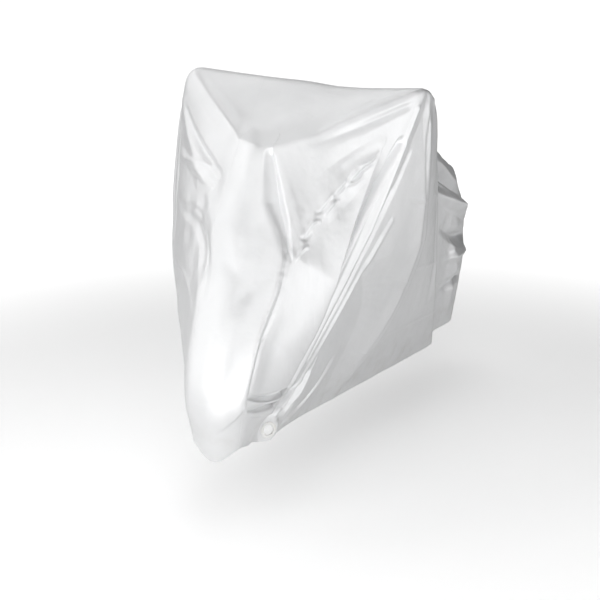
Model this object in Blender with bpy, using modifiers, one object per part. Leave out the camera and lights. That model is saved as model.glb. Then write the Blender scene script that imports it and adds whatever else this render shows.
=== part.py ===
"""Bicycle cover of thin coated cloth, in the shape in which it hangs over a bicycle.

Metres, +Z up. The bicycle's front is -Y and its rider's left is +X. The origin is under the
top of the cover, where it rests on the middle of the handlebar, and the floor is BAR_UP below.

Pieces: two side panels, one middle strip that runs from the nose hem over the top to the tail
hem, two hem strips that hold the eyelets, and two eyelet rings.
"""

from collections import defaultdict, namedtuple
from math import cos, radians, sin

import bmesh
import bpy
import numpy as np
from mathutils import Matrix, Vector

# ---------------------------------------------------------------- driving dimensions
CLOTH = 0.0016            # thickness of the coated cloth
BAR_UP = 1.042            # height above the floor of the handlebar's middle, under the cloth
STEER = radians(9.5)      # the handlebar and front wheel are turned to the rider's left
GAP = 0.00032             # clearance between neighbouring pieces
CROWN = 0.004             # how far the middle strip's centre stands above its two seams

EYELET_HOLE = 0.028       # clear hole of an eyelet ring
EYELET_OUTER = 0.045      # outer width of its flanges
EYELET_WALL = 0.0014      # wall of its barrel
FLANGE = 0.0016           # thickness of each of its two flanges
FLANGE_ROUND = 0.0008     # rounding of its edges
RING_STEPS = 28           # sides of the turned ring
EYELET_FLAT = 0.040       # the cloth lies flat this far round an eyelet's centre
EYELET_BLEND = 0.085      # and follows its folds again from here
EYELET_PLACE = (3.0, 5.89)       # rib and level of an eyelet's centre
EYELET_FACING = (0.66, 0.75)     # how far ahead and aside the pulled cloth faces there

# Levels of a rib, counted down from the crest of the middle strip.
CREST, SEAM, SHOULDER, UPPER, LOWER, HEM = 1, 2, 3, 4, 5, 6
LEVEL_ROUND = (0.5, 0.5, 0.35, None, 0.5, 0.5, 0.5)   # the shoulder's is each rib's own
LEVEL_CELLS = ((SEAM, 5), (SHOULDER, 9), (UPPER, 9), (LOWER, 5), (5.7, 4), (HEM, 0))   # rows down to the next
STRIP_CELLS = 6           # cells across the middle strip
EYELET_RIBS = (0, 4)      # the eyelet strip runs between these ribs
EYELET_ROWS = 4           # and takes these rows of cells above the hem

# A rib is a line down the cloth from the strip's seam to the hem. Its points are metres ahead
# of the handlebar, aside from the middle and above the floor. "turn" is how much of the
# steering turn it follows, "soft" rounds the cloth over the rib and "edge" rounds the rib over
# its shoulder, as shares of the lengths beside them. "cells" counts the columns to the next rib.
Rib = namedtuple("Rib", "name turn soft edge cells seam shoulder upper lower hem")

LEFT_RIBS = (
    Rib("nose edge", 1.0, 0.30, 0.18, 5,
        (0.262, 0.020, 0.950), (0.322, 0.005, 0.915), (0.435, 0.098, 0.672), (0.680, 0.083, 0.395), (0.633, 0.038, 0.215)),
    Rib("hollow", 1.0, 0.45, 0.20, 6,
        (0.190, 0.070, 0.980), (0.250, 0.110, 0.940), (0.350, 0.125, 0.700), (0.574, 0.088, 0.388), (0.562, 0.034, 0.199)),
    Rib("facet", 1.0, 0.50, 0.20, 7,
        (0.105, 0.088, 1.012), (0.145, 0.215, 0.988), (0.262, 0.160, 0.735), (0.455, 0.112, 0.405), (0.512, 0.024, 0.190)),
    Rib("ridge", 1.0, 0.25, 0.08, 6,
        (0.020, 0.090, 1.034), (0.020, 0.335, 1.048), (0.140, 0.250, 0.790), (0.317, 0.135, 0.450), (0.478, 0.038, 0.176)),
    Rib("band", 0.7, 0.40, 0.08, 4,
        (-0.030, 0.090, 1.030), (-0.060, 0.340, 1.030), (-0.030, 0.285, 0.750), (0.090, 0.180, 0.420), (0.392, 0.062, 0.172)),
    Rib("fall", 0.4, 0.40, 0.15, 3,
        (-0.100, 0.090, 1.000), (-0.140, 0.322, 0.985), (-0.200, 0.266, 0.700), (-0.140, 0.187, 0.400), (0.230, 0.072, 0.163)),
    Rib("wall", 0.0, 0.50, 0.20, 3,
        (-0.200, 0.088, 0.960), (-0.190, 0.300, 0.945), (-0.280, 0.255, 0.700), (-0.350, 0.195, 0.400), (-0.120, 0.092, 0.153)),
    Rib("corner", 0.0, 0.15, 0.25, 3,
        (-0.320, 0.085, 0.930), (-0.240, 0.278, 0.905), (-0.360, 0.237, 0.680), (-0.465, 0.193, 0.380), (-0.603, 0.118, 0.150)),
    Rib("valley", 0.0, 0.45, 0.35, 3,
        (-0.480, 0.080, 0.850), (-0.420, 0.150, 0.820), (-0.500, 0.110, 0.650), (-0.590, 0.075, 0.380), (-0.680, 0.060, 0.155)),
    Rib("bulge", 0.0, 0.50, 0.40, 4,
        (-0.700, 0.065, 0.760), (-0.720, 0.100, 0.705), (-0.800, 0.118, 0.545), (-0.835, 0.108, 0.360), (-0.840, 0.074, 0.160)),
    Rib("tail edge", 0.0, 0.40, 0.40, 0,
        (-0.885, 0.050, 0.645), (-0.930, 0.045, 0.620), (-0.980, 0.056, 0.520), (-0.968, 0.056, 0.330), (-0.900, 0.046, 0.150)),
)
RIGHT_RIBS = (
    Rib("nose edge", 1.0, 0.30, 0.18, 5,
        (0.255, 0.085, 0.958), (0.294, 0.086, 0.926), (0.400, 0.118, 0.735), (0.665, 0.108, 0.365), (0.632, 0.096, 0.229)),
    Rib("hollow", 1.0, 0.45, 0.20, 6,
        (0.190, 0.090, 0.985), (0.240, 0.140, 0.955), (0.345, 0.170, 0.740), (0.550, 0.165, 0.400), (0.560, 0.084, 0.214)),
    Rib("facet", 1.0, 0.50, 0.20, 7,
        (0.110, 0.090, 1.015), (0.150, 0.245, 1.010), (0.250, 0.265, 0.740), (0.380, 0.250, 0.420), (0.500, 0.070, 0.199)),
    Rib("ridge", 1.0, 0.30, 0.20, 6,
        (0.020, 0.090, 1.052), (0.020, 0.354, 1.080), (0.100, 0.362, 0.770), (0.200, 0.328, 0.460), (0.440, 0.085, 0.186)),
    Rib("band", 0.7, 0.40, 0.20, 4,
        (-0.030, 0.090, 1.046), (-0.060, 0.356, 1.045), (0.000, 0.350, 0.760), (0.060, 0.295, 0.420), (0.372, 0.100, 0.175)),
    Rib("fall", 0.4, 0.40, 0.15, 3,
        (-0.100, 0.090, 1.005), (-0.150, 0.330, 0.980), (-0.170, 0.320, 0.710), (-0.140, 0.245, 0.400), (0.230, 0.118, 0.163)),
    Rib("wall", 0.0, 0.50, 0.20, 3,
        (-0.200, 0.088, 0.965), (-0.200, 0.310, 0.940), (-0.290, 0.275, 0.700), (-0.350, 0.215, 0.400), (-0.140, 0.128, 0.153)),
    Rib("corner", 0.0, 0.30, 0.25, 3,
        (-0.320, 0.085, 0.930), (-0.290, 0.260, 0.900), (-0.400, 0.225, 0.680), (-0.500, 0.180, 0.380), (-0.600, 0.125, 0.150)),
    Rib("valley", 0.0, 0.50, 0.35, 3,
        (-0.480, 0.080, 0.850), (-0.460, 0.160, 0.815), (-0.530, 0.130, 0.650), (-0.610, 0.100, 0.380), (-0.690, 0.080, 0.155)),
    Rib("bulge", 0.0, 0.50, 0.40, 4,
        (-0.700, 0.065, 0.760), (-0.720, 0.100, 0.705), (-0.800, 0.118, 0.545), (-0.835, 0.108, 0.360), (-0.840, 0.074, 0.160)),
    Rib("tail edge", 0.0, 0.40, 0.40, 0,
        (-0.885, 0.050, 0.645), (-0.930, 0.045, 0.620), (-0.980, 0.056, 0.520), (-0.968, 0.056, 0.330), (-0.900, 0.046, 0.150)),
)
# The middle of the strip on the nose and on the tail, where the strip hangs down.
NOSE_MIDDLE = Rib("nose middle", 1.0, 0.5, 0.20, 0,
                  (0.268, -0.036, 0.955), (0.320, -0.042, 0.922), (0.468, -0.014, 0.700), (0.712, -0.008, 0.385), (0.668, -0.025, 0.168))
TAIL_MIDDLE = Rib("tail middle", 0.0, 0.5, 0.40, 0,
                  (-0.900, 0.000, 0.649), (-0.945, 0.000, 0.626), (-1.002, 0.000, 0.525), (-0.990, 0.000, 0.335), (-0.920, 0.000, 0.148))

# A fold is a soft ridge (height over 0) or trough (under 0) along a bent line on the cloth. Its
# heights and half-widths are given at the line's start, bend and end, which are (rib, level)
# places. Ribs are counted from the nose edge's 0, and the nose's middle is -1.
Fold = namedtuple("Fold", "name side heights widths start bend end")
FOLDS = (
    # the pull from the left handlebar end to the left eyelet
    Fold("trough before the ridge", 1, (-0.003, -0.011, -0.004), (0.014, 0.020, 0.012), (3.00, 3.50), (2.60, 4.50), (2.75, 5.40)),
    Fold("tension ridge", 1, (0.004, 0.009, 0.004), (0.014, 0.017, 0.011), (3.15, 3.20), (3.12, 4.25), (3.00, 5.50)),
    Fold("trough behind the ridge", 1, (-0.002, -0.006, -0.003), (0.012, 0.014, 0.011), (3.50, 3.60), (3.35, 4.40), (3.20, 5.30)),
    Fold("second ridge", 1, (0.002, 0.005, 0.003), (0.012, 0.014, 0.010), (3.70, 4.20), (3.45, 4.75), (3.35, 5.50)),
    Fold("band ridge", 1, (0.003, 0.008, 0.006), (0.030, 0.035, 0.024), (4.20, 3.30), (5.15, 4.60), (5.45, 5.75)),
    # gathers that fan out from the left eyelet
    Fold("gather", 1, (-0.003, -0.006, -0.002), (0.011, 0.013, 0.011), (0.15, 5.23), (1.20, 5.30), (2.40, 5.37)),
    Fold("gather", 1, (-0.003, -0.006, -0.002), (0.011, 0.013, 0.011), (0.25, 5.40), (1.70, 5.47), (2.95, 5.50)),
    Fold("gather", 1, (0.002, 0.005, 0.002), (0.011, 0.013, 0.011), (0.50, 5.49), (1.90, 5.56), (3.05, 5.57)),
    Fold("gather", 1, (-0.005, -0.007, -0.002), (0.010, 0.012, 0.011), (2.45, 5.80), (2.95, 5.66), (3.30, 5.50)),
    Fold("gather", 1, (-0.005, -0.007, -0.003), (0.010, 0.012, 0.011), (3.18, 5.82), (3.52, 5.70), (3.47, 5.42)),
    Fold("gather", 1, (0.003, 0.005, 0.002), (0.010, 0.011, 0.010), (3.82, 5.84), (3.66, 5.68), (3.56, 5.45)),
    Fold("gather", 1, (-0.004, -0.007, -0.002), (0.010, 0.013, 0.012), (3.95, 5.92), (4.62, 5.80), (4.20, 5.38)),
    # the apron before the bar, and the crumpled step under it
    Fold("apron crease", 1, (-0.005, -0.010, -0.003), (0.014, 0.022, 0.018), (2.80, 3.14), (2.00, 3.10), (0.70, 3.03)),
    Fold("apron ridge", 1, (0.002, 0.005, 0.002), (0.014, 0.020, 0.018), (2.90, 2.98), (2.20, 2.92), (1.20, 2.84)),
    Fold("crumple trough", 1, (-0.003, -0.007, -0.003), (0.018, 0.022, 0.018), (2.45, 3.45), (1.70, 3.52), (0.75, 3.66)),
    Fold("crumple ridge", 1, (0.003, 0.007, 0.004), (0.016, 0.020, 0.016), (2.50, 3.58), (1.75, 3.66), (0.75, 3.80)),
    # the strip's own folds on the nose
    Fold("seam lens", 1, (-0.004, -0.014, -0.004), (0.014, 0.026, 0.014), (-0.15, 3.04), (-0.20, 3.50), (0.35, 3.95)),
    Fold("lens edge", 1, (0.002, 0.006, 0.002), (0.014, 0.018, 0.014), (0.15, 3.05), (0.30, 3.45), (0.60, 3.90)),
    Fold("nose hollow", 1, (-0.004, -0.009, -0.003), (0.022, 0.030, 0.022), (-0.45, 3.95), (-0.80, 4.10), (-0.75, 4.45)),
    # the wall behind
    Fold("wall trough", 1, (-0.002, -0.006, -0.002), (0.020, 0.026, 0.020), (6.60, 3.40), (6.80, 4.20), (6.70, 5.20)),
    Fold("tail crumple", 1, (-0.006, -0.014, -0.005), (0.030, 0.040, 0.030), (8.50, 3.25), (8.90, 3.45), (9.45, 3.75)),
    Fold("tail crumple", 1, (0.004, 0.010, 0.003), (0.026, 0.032, 0.026), (8.55, 3.85), (9.00, 3.98), (9.50, 4.10)),
    Fold("tail crumple", 1, (-0.004, -0.010, -0.004), (0.026, 0.030, 0.026), (8.70, 4.52), (9.15, 4.58), (9.70, 4.52)),
    # the rider's right, which is pulled to its own eyelet
    Fold("right crease", -1, (-0.002, -0.007, -0.003), (0.018, 0.024, 0.016), (2.70, 3.30), (1.90, 3.42), (0.70, 3.50)),
    Fold("right ridge", -1, (0.002, 0.006, 0.003), (0.018, 0.022, 0.016), (2.60, 3.68), (1.70, 3.62), (0.90, 3.68)),
    Fold("right hollow", -1, (-0.002, -0.008, -0.003), (0.018, 0.026, 0.018), (2.30, 4.06), (1.10, 4.02), (0.15, 4.35)),
    Fold("right tension ridge", -1, (0.003, 0.008, 0.004), (0.014, 0.018, 0.012), (3.10, 3.30), (3.15, 4.40), (3.00, 5.50)),
    Fold("right trough", -1, (-0.002, -0.008, -0.003), (0.014, 0.020, 0.012), (3.45, 3.50), (3.50, 4.50), (3.30, 5.40)),
    Fold("right gather", -1, (-0.003, -0.006, -0.002), (0.011, 0.014, 0.012), (0.60, 5.50), (1.60, 5.42), (2.70, 5.35)),
    Fold("right gather", -1, (-0.004, -0.007, -0.002), (0.011, 0.014, 0.012), (3.80, 5.84), (4.30, 5.72), (4.15, 5.40)),
    Fold("right tail crumple", -1, (-0.004, -0.011, -0.004), (0.028, 0.036, 0.028), (8.45, 3.50), (8.95, 3.80), (9.50, 3.90)),
)
FOLD_SAMPLES = 25         # points read along each fold's line
NORMAL_STEP = 0.01        # share of a rib or level between the points that give a normal


# ---------------------------------------------------------------- the plain shape of the cloth
def place(point, turn, side):
    """A rib's point in the object's frame. side is 1 on the rider's left and -1 on the right."""
    ahead, aside, up = point
    angle = STEER * turn
    aside *= side
    return np.array((ahead * sin(angle) + aside * cos(angle), -ahead * cos(angle) + aside * sin(angle), up - BAR_UP))


def rounded(points, rounds, at):
    """The point at place `at` along a polyline whose corner i is rounded over rounds[i] of each side."""
    last = len(points) - 1
    corner = min(max(int(round(at)), 0), last)
    soft = rounds[corner]
    offset = at - corner
    if 0 < corner < last and abs(offset) < soft:
        share = (offset + soft) / (2 * soft)
        before = points[corner] + soft * (points[corner - 1] - points[corner])
        after = points[corner] + soft * (points[corner + 1] - points[corner])
        return (1 - share) ** 2 * before + 2 * share * (1 - share) * points[corner] + share ** 2 * after
    low = min(max(int(at), 0), last - 1)
    return points[low] + (at - low) * (points[low + 1] - points[low])


def rib_points(rib, opposite, side):
    """A rib's seven points: the opposite seam, the crest between the seams, and the five of its table."""
    own = [place(point, rib.turn, side) for point in rib[5:]]
    other = place(opposite.seam, opposite.turn, -side)
    crest = (own[0] + other) / 2 + np.array((0, 0, CROWN))
    return [other, crest] + own


def side_ribs(side):
    """All ribs of one side, from the nose middle to the tail middle, with how each is rounded."""
    own, opposite = (LEFT_RIBS, RIGHT_RIBS) if side > 0 else (RIGHT_RIBS, LEFT_RIBS)
    ribs = [rib_points(rib, other, side) for rib, other in zip(own, opposite)]
    ends = []
    for middle in (NOSE_MIDDLE, TAIL_MIDDLE):
        points = [place((ahead, aside * side, up), middle.turn, side) for ahead, aside, up in middle[5:]]
        ends.append([points[0], points[0]] + points)
    rows = (NOSE_MIDDLE, *own, TAIL_MIDDLE)
    softness = [rib.soft for rib in rows]
    level_softness = [[rib.edge if soft is None else soft for soft in LEVEL_ROUND] for rib in rows]
    return [ends[0]] + ribs + [ends[1]], softness, level_softness


SIDES = {side: side_ribs(side) for side in (1, -1)}


def cloth_point(side, rib, level):
    """The plain cloth at a place counted in ribs from the nose edge and in levels."""
    ribs, softness, level_softness = SIDES[side]
    near = range(max(0, int(rib)), min(len(ribs), int(rib) + 4))
    row = {i: rounded(ribs[i], level_softness[i], level) for i in near}
    full = [row.get(i, row[near[0]]) for i in range(len(ribs))]
    return rounded(full, softness, rib + 1)


def cloth_normal(side, rib, level):
    """The outward direction of the plain cloth at a place."""
    along = cloth_point(side, rib + NORMAL_STEP, level) - cloth_point(side, rib - NORMAL_STEP, level)
    down = cloth_point(side, rib, level + NORMAL_STEP) - cloth_point(side, rib, level - NORMAL_STEP)
    normal = side * np.cross(down, along)
    return normal / np.linalg.norm(normal)


# ---------------------------------------------------------------- folds and the flats for the eyelets
def fold_line(fold):
    """Points, outward directions, heights and half-widths read along a fold's line."""
    shares = np.linspace(0, 2, FOLD_SAMPLES)
    stops = [np.array(stop) for stop in (fold.start, fold.bend, fold.end)]
    places = [rounded(stops, (0.5, 0.5, 0.5), share) for share in shares]
    points = np.array([cloth_point(fold.side, *place) for place in places])
    normals = np.array([cloth_normal(fold.side, *place) for place in places])
    heights = np.interp(shares, (0, 1, 2), fold.heights)
    widths = np.interp(shares, (0, 1, 2), fold.widths)
    return points, normals, heights, widths


FOLD_LINES = [fold_line(fold) for fold in FOLDS]


def eyelet_frame(side):
    """Centre and outward direction of one side's eyelet."""
    facing = place((*EYELET_FACING, BAR_UP), 1.0, side)
    return cloth_point(side, *EYELET_PLACE), facing / np.linalg.norm(facing)


EYELETS = {side: eyelet_frame(side) for side in (1, -1)}


def nearest_on_line(point, line):
    """Distance from a point to a line of samples, with the share of the nearest place in samples."""
    starts, runs = line[:-1], np.diff(line, axis=0)
    shares = np.clip(((point - starts) * runs).sum(1) / (runs ** 2).sum(1), 0, 1)
    gaps = np.linalg.norm(starts + shares[:, None] * runs - point, axis=1)
    index = int(np.argmin(gaps))
    return gaps[index], index + shares[index]


def folded(point):
    """A point of the plain cloth, moved by every fold near it and laid flat round the eyelets."""
    moved = point.copy()
    for line, normals, heights, widths in FOLD_LINES:
        gap, at = nearest_on_line(point, line)
        low = min(int(at), FOLD_SAMPLES - 2)
        share = at - low
        width = widths[low] + share * (widths[low + 1] - widths[low])
        if gap < width:
            height = heights[low] + share * (heights[low + 1] - heights[low])
            normal = normals[low] + share * (normals[low + 1] - normals[low])
            moved += height * (1 - (gap / width) ** 2) ** 2 * normal
    for centre, normal in EYELETS.values():
        gap = np.linalg.norm(point - centre)
        share = min(max((EYELET_BLEND - gap) / (EYELET_BLEND - EYELET_FLAT), 0), 1)
        moved -= share * share * (3 - 2 * share) * np.dot(moved - centre, normal) * normal
    return moved


# ---------------------------------------------------------------- grids of points
def steps(stops):
    """Places along a line, from stops of (place, cells to the next stop)."""
    places = []
    for (here, cells), (ahead, _) in zip(stops, stops[1:]):
        places += [here + (ahead - here) * n / cells for n in range(cells)]
    return places + [stops[-1][0]]


RIB_PLACES = steps([(number, rib.cells) for number, rib in enumerate(LEFT_RIBS)])
LEVEL_PLACES = steps(LEVEL_CELLS)
ACROSS_PLACES = [-1 + 2 * n / STRIP_CELLS for n in range(STRIP_CELLS + 1)]


def side_points(side):
    """Grid of points of one side of the cover, from the seam down to the hem, and from nose to tail."""
    return np.array([[folded(cloth_point(side, rib, level)) for level in LEVEL_PLACES] for rib in RIB_PLACES])


def end_row(rib, level):
    """A row across the strip where it hangs, at the nose (rib 0) or at the tail (the last rib)."""
    last = len(LEFT_RIBS) - 1
    middle = 0 if rib == 0 else last + 2
    inward = 1 if rib == 0 else -1
    edge = middle + inward
    line, softness = [], []
    for side, order in ((-1, (edge + inward, edge, middle)), (1, (edge, edge + inward))):
        ribs, soft, level_soft = SIDES[side]
        line += [rounded(ribs[i], level_soft[i], level) for i in order]
        softness += [soft[i] for i in order]
    return [rounded(line, softness, 2 + across) for across in ACROSS_PLACES]


def top_row(rib):
    """A row across the strip where it lies over the top."""
    return [cloth_point(1 if across >= 0 else -1, rib, CREST + abs(across)) for across in ACROSS_PLACES]


def strip_points():
    """Rows across the middle strip, from the nose hem over the top to the tail hem."""
    rows = [end_row(0, level) for level in reversed(LEVEL_PLACES)]
    rows += [top_row(rib) for rib in RIB_PLACES[1:-1]]
    rows += [end_row(len(LEFT_RIBS) - 1, level) for level in LEVEL_PLACES]
    points = np.array([[folded(point) for point in row] for row in rows])
    fit_to_seams(points)
    return points


def fit_to_seams(points):
    """Moves the strip's rows so that their ends are exactly the edges of the two sides."""
    for side, end in ((-1, 0), (1, -1)):
        grid = SIDE_GRIDS[side]
        edge = np.concatenate([grid[0, ::-1], grid[1:-1, 0], grid[-1]])
        shift = edge - points[:, end]
        shares = np.clip(side * np.array(ACROSS_PLACES), 0, 1) ** 2
        points += shares[None, :, None] * shift[:, None, :]


SIDE_GRIDS = {side: side_points(side) for side in (1, -1)}


# ---------------------------------------------------------------- Blender objects
def clear_scene():
    for thing in list(bpy.data.objects):
        bpy.data.objects.remove(thing, do_unlink=True)


def finish_material(name, colour, roughness, metallic):
    material = bpy.data.materials.new(name)
    material.use_nodes = True
    shader = material.node_tree.nodes["Principled BSDF"]
    shader.inputs["Base Color"].default_value = (*colour, 1.0)
    shader.inputs["Roughness"].default_value = roughness
    shader.inputs["Metallic"].default_value = metallic
    material.diffuse_color = (*colour, 1.0)
    return material


def surface(points, outward_flip, columns=None, rows=None, without=None):
    """A grid of points as an open surface. `without` leaves out a block of cells in grid indices."""
    first_column, last_column = columns or (0, len(points) - 1)
    first_row, last_row = rows or (0, points.shape[1] - 1)
    across, down = last_column - first_column, last_row - first_row
    form = bmesh.new()
    bmesh.ops.create_grid(form, x_segments=across, y_segments=down, size=1.0)
    index = {}
    for vertex in form.verts:
        column = first_column + round((vertex.co.x + 1) / 2 * across)
        row = first_row + round((vertex.co.y + 1) / 2 * down)
        index[vertex] = (column, row)
    if without:
        columns_out, rows_out = without
        faces = [face for face in form.faces if in_block(face, index, columns_out, rows_out)]
        bmesh.ops.delete(form, geom=faces, context="FACES")
    for vertex in form.verts:
        column, row = index[vertex]
        vertex.co = Vector(points[column, row])
    if outward_flip:
        bmesh.ops.reverse_faces(form, faces=form.faces)
    form.normal_update()
    return form


def in_block(face, index, columns, rows):
    places = [index[vertex] for vertex in face.verts]
    middle_column = sum(column for column, _ in places) / len(places)
    middle_row = sum(row for _, row in places) / len(places)
    return columns[0] < middle_column < columns[1] and rows[0] < middle_row < rows[1]


def point_key(vertex):
    return tuple(round(value * 1e6) for value in vertex.co)


def seam_bends(forms):
    """For each point that two or more pieces share, the largest angle between their faces there."""
    faces_at = defaultdict(dict)
    for number, form in enumerate(forms):
        for vertex in form.verts:
            if vertex.is_boundary:
                faces_at[point_key(vertex)][number] = [face.normal.copy() for face in vertex.link_faces]
    bends = {}
    for key, pieces in faces_at.items():
        numbers = sorted(pieces)
        pairs = [(a, b) for a in numbers for b in numbers if a < b]
        angles = [one.angle(other) for a, b in pairs for one in pieces[a] for other in pieces[b]]
        if angles:
            bends[key] = max(angles)
    return bends


def open_seams(forms):
    """Draws each piece's seam edges back, so that the thickened pieces stay GAP apart."""
    bends = seam_bends(forms)
    for form in forms:
        moves = {}
        for vertex in form.verts:
            bend = bends.get(point_key(vertex))
            if bend is None or not vertex.is_boundary:
                continue
            ends = [edge.other_vert(vertex).co - vertex.co for edge in vertex.link_edges if edge.is_boundary]
            tangent = (ends[0].normalized() - ends[1].normalized()).normalized()
            inward = sum((face.calc_center_median() for face in vertex.link_faces), Vector()) / len(vertex.link_faces) - vertex.co
            inward = (inward - inward.dot(tangent) * tangent).normalized()
            corner = max(abs(ends[0].normalized().dot(tangent)), 0.7)
            half = min(bend, radians(100)) / 2
            moves[vertex] = inward * (GAP / (2 * cos(half)) + CLOTH / 2 * sin(half) / cos(half)) / corner
        for vertex, move in moves.items():
            vertex.co += move


def cloth_piece(name, form, material, collection):
    """An open surface as a piece of cloth with its thickness."""
    mesh = bpy.data.meshes.new(name)
    form.to_mesh(mesh)
    form.free()
    mesh.shade_smooth()
    mesh.materials.append(material)
    piece = bpy.data.objects.new(name, mesh)
    collection.objects.link(piece)
    wall = piece.modifiers.new("Cloth thickness", "SOLIDIFY")
    wall.thickness = CLOTH
    wall.offset = 0.0
    wall.use_even_offset = True
    return piece


def eyelet_place(name, side, collection):
    """An empty at an eyelet's centre, with its Z along the cloth's outward direction."""
    centre, normal = EYELETS[side]
    empty = bpy.data.objects.new(name, None)
    empty.empty_display_size = EYELET_OUTER
    turn = Vector((0, 0, 1)).rotation_difference(Vector(normal))
    empty.matrix_world = Matrix.Translation(Vector(centre)) @ turn.to_matrix().to_4x4()
    collection.objects.link(empty)
    return empty


def eyelet_hole(name, piece, empty, collection):
    """Cuts the eyelet's barrel hole out of its strip."""
    form = bmesh.new()
    radius = EYELET_HOLE / 2 + EYELET_WALL + GAP
    bmesh.ops.create_cone(form, cap_ends=True, segments=RING_STEPS, radius1=radius, radius2=radius, depth=0.02)
    mesh = bpy.data.meshes.new(name)
    form.to_mesh(mesh)
    form.free()
    cutter = bpy.data.objects.new(name, mesh)
    cutter.parent = empty
    cutter.hide_render = True
    cutter.display_type = "WIRE"
    collection.objects.link(cutter)
    cut = piece.modifiers.new("Eyelet hole", "BOOLEAN")
    cut.operation = "DIFFERENCE"
    cut.solver = "EXACT"
    cut.object = cutter


def ring_profile():
    """Half-section of an eyelet ring as (radius, height) points: a barrel with a flange at each end."""
    bore = EYELET_HOLE / 2
    barrel = bore + EYELET_WALL
    rim = EYELET_OUTER / 2
    inner = CLOTH / 2 + GAP
    outer = inner + FLANGE
    half = [(barrel, inner), (rim, inner), (rim, outer - FLANGE_ROUND), (rim - FLANGE_ROUND, outer),
            (bore + FLANGE_ROUND, outer), (bore, outer - FLANGE_ROUND)]
    return half + [(radius, -height) for radius, height in reversed(half)]


def eyelet_ring(name, empty, material, collection):
    """A turned eyelet ring, fitted on its empty."""
    form = bmesh.new()
    points = [form.verts.new((radius, 0, height)) for radius, height in ring_profile()]
    for here, ahead in zip(points, points[1:] + points[:1]):
        form.edges.new((here, ahead))
    mesh = bpy.data.meshes.new(name)
    form.to_mesh(mesh)
    form.free()
    mesh.materials.append(material)
    ring = bpy.data.objects.new(name, mesh)
    ring.parent = empty
    collection.objects.link(ring)
    turn = ring.modifiers.new("Turned round the barrel", "SCREW")
    turn.axis = "Z"
    turn.steps = RING_STEPS
    turn.render_steps = RING_STEPS
    turn.use_merge_vertices = True
    turn.merge_threshold = 0.0001
    turn.use_normal_flip = True
    return ring


def main():
    clear_scene()
    cover = bpy.data.collections.new("Bicycle cover")
    bpy.context.scene.collection.children.link(cover)
    cloth = finish_material("Silver coated cloth", (0.86, 0.87, 0.88), 0.38, 0.25)
    plastic = finish_material("White eyelet plastic", (0.88, 0.88, 0.87), 0.42, 0.0)

    columns = tuple(RIB_PLACES.index(rib) for rib in EYELET_RIBS)
    bottom = len(LEVEL_PLACES) - 1
    rows = (bottom - EYELET_ROWS, bottom)
    left, right = SIDE_GRIDS[1], SIDE_GRIDS[-1]
    forms = {
        "side_panel_left": surface(left, False, without=(columns, rows)),
        "side_panel_right": surface(right, True, without=(columns, rows)),
        "eyelet_strip_left": surface(left, False, columns, rows),
        "eyelet_strip_right": surface(right, True, columns, rows),
        "middle_strip": surface(strip_points(), True),
    }
    open_seams(list(forms.values()))
    pieces = {name: cloth_piece(name, form, cloth, cover) for name, form in forms.items()}
    for side, hand in ((1, "left"), (-1, "right")):
        empty = eyelet_place("eyelet_place_" + hand, side, cover)
        eyelet_hole("eyelet_cutter_" + hand, pieces["eyelet_strip_" + hand], empty, cover)
        eyelet_ring("eyelet_ring_" + hand, empty, plastic, cover)


main()
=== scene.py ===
# %% [markdown]
# # A silver bicycle cover, from thin cloth to a lit picture
#
# A fitted bicycle cover is three cuts of thin coated cloth: two side panels and one long strip
# that runs from the front hem over the handlebar to the rear hem. It stands up only because a
# bicycle is under it, so its whole character is in how the cloth is pulled: tight over the two
# handlebar ends, tight again to the eyelets at the hem, and slack in between. This lesson loads
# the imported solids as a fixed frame, builds each cut as one fine sheet on the same folds, and
# gives the sheets the coating, the seams, the stitches and the small creases of the real thing.

# %% Load the frame
from collections import namedtuple
from math import cos, pi, radians, sin

import bmesh
import bpy
import numpy as np
from mathutils import Matrix, Vector


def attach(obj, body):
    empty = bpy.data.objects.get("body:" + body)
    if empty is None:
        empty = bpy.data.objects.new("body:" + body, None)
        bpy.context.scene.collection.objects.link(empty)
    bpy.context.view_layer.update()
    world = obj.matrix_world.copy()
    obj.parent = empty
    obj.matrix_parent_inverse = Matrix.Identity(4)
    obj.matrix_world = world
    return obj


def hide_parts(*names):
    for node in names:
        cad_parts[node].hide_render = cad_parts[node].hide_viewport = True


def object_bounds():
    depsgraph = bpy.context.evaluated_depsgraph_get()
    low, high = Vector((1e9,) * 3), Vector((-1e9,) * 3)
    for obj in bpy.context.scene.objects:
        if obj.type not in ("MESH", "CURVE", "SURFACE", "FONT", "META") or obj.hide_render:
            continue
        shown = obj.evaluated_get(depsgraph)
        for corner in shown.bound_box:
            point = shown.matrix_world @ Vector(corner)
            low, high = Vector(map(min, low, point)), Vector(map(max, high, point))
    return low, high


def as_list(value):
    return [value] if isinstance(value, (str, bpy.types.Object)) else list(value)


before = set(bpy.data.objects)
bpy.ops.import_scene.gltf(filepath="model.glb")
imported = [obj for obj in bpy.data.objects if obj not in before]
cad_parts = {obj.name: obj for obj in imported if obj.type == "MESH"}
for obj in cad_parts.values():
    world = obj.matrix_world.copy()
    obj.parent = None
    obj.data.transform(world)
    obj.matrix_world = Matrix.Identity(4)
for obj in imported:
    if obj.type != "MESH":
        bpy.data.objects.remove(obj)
cad_box = [list(corner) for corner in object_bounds()]
print("nodes:", sorted(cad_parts))
print("solids' box:", [[round(value, 3) for value in corner] for corner in cad_box])

# %% [markdown]
# ## The camera
#
# A cover is judged by its outline, so the camera comes first. A long lens from a few metres away
# keeps the two handlebar ends nearly level and the nose only a little larger than the tail. The
# camera could be aimed with a Track To constraint, but a heading, a pitch and a distance say the
# same in three plain numbers that are easy to change.

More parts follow.
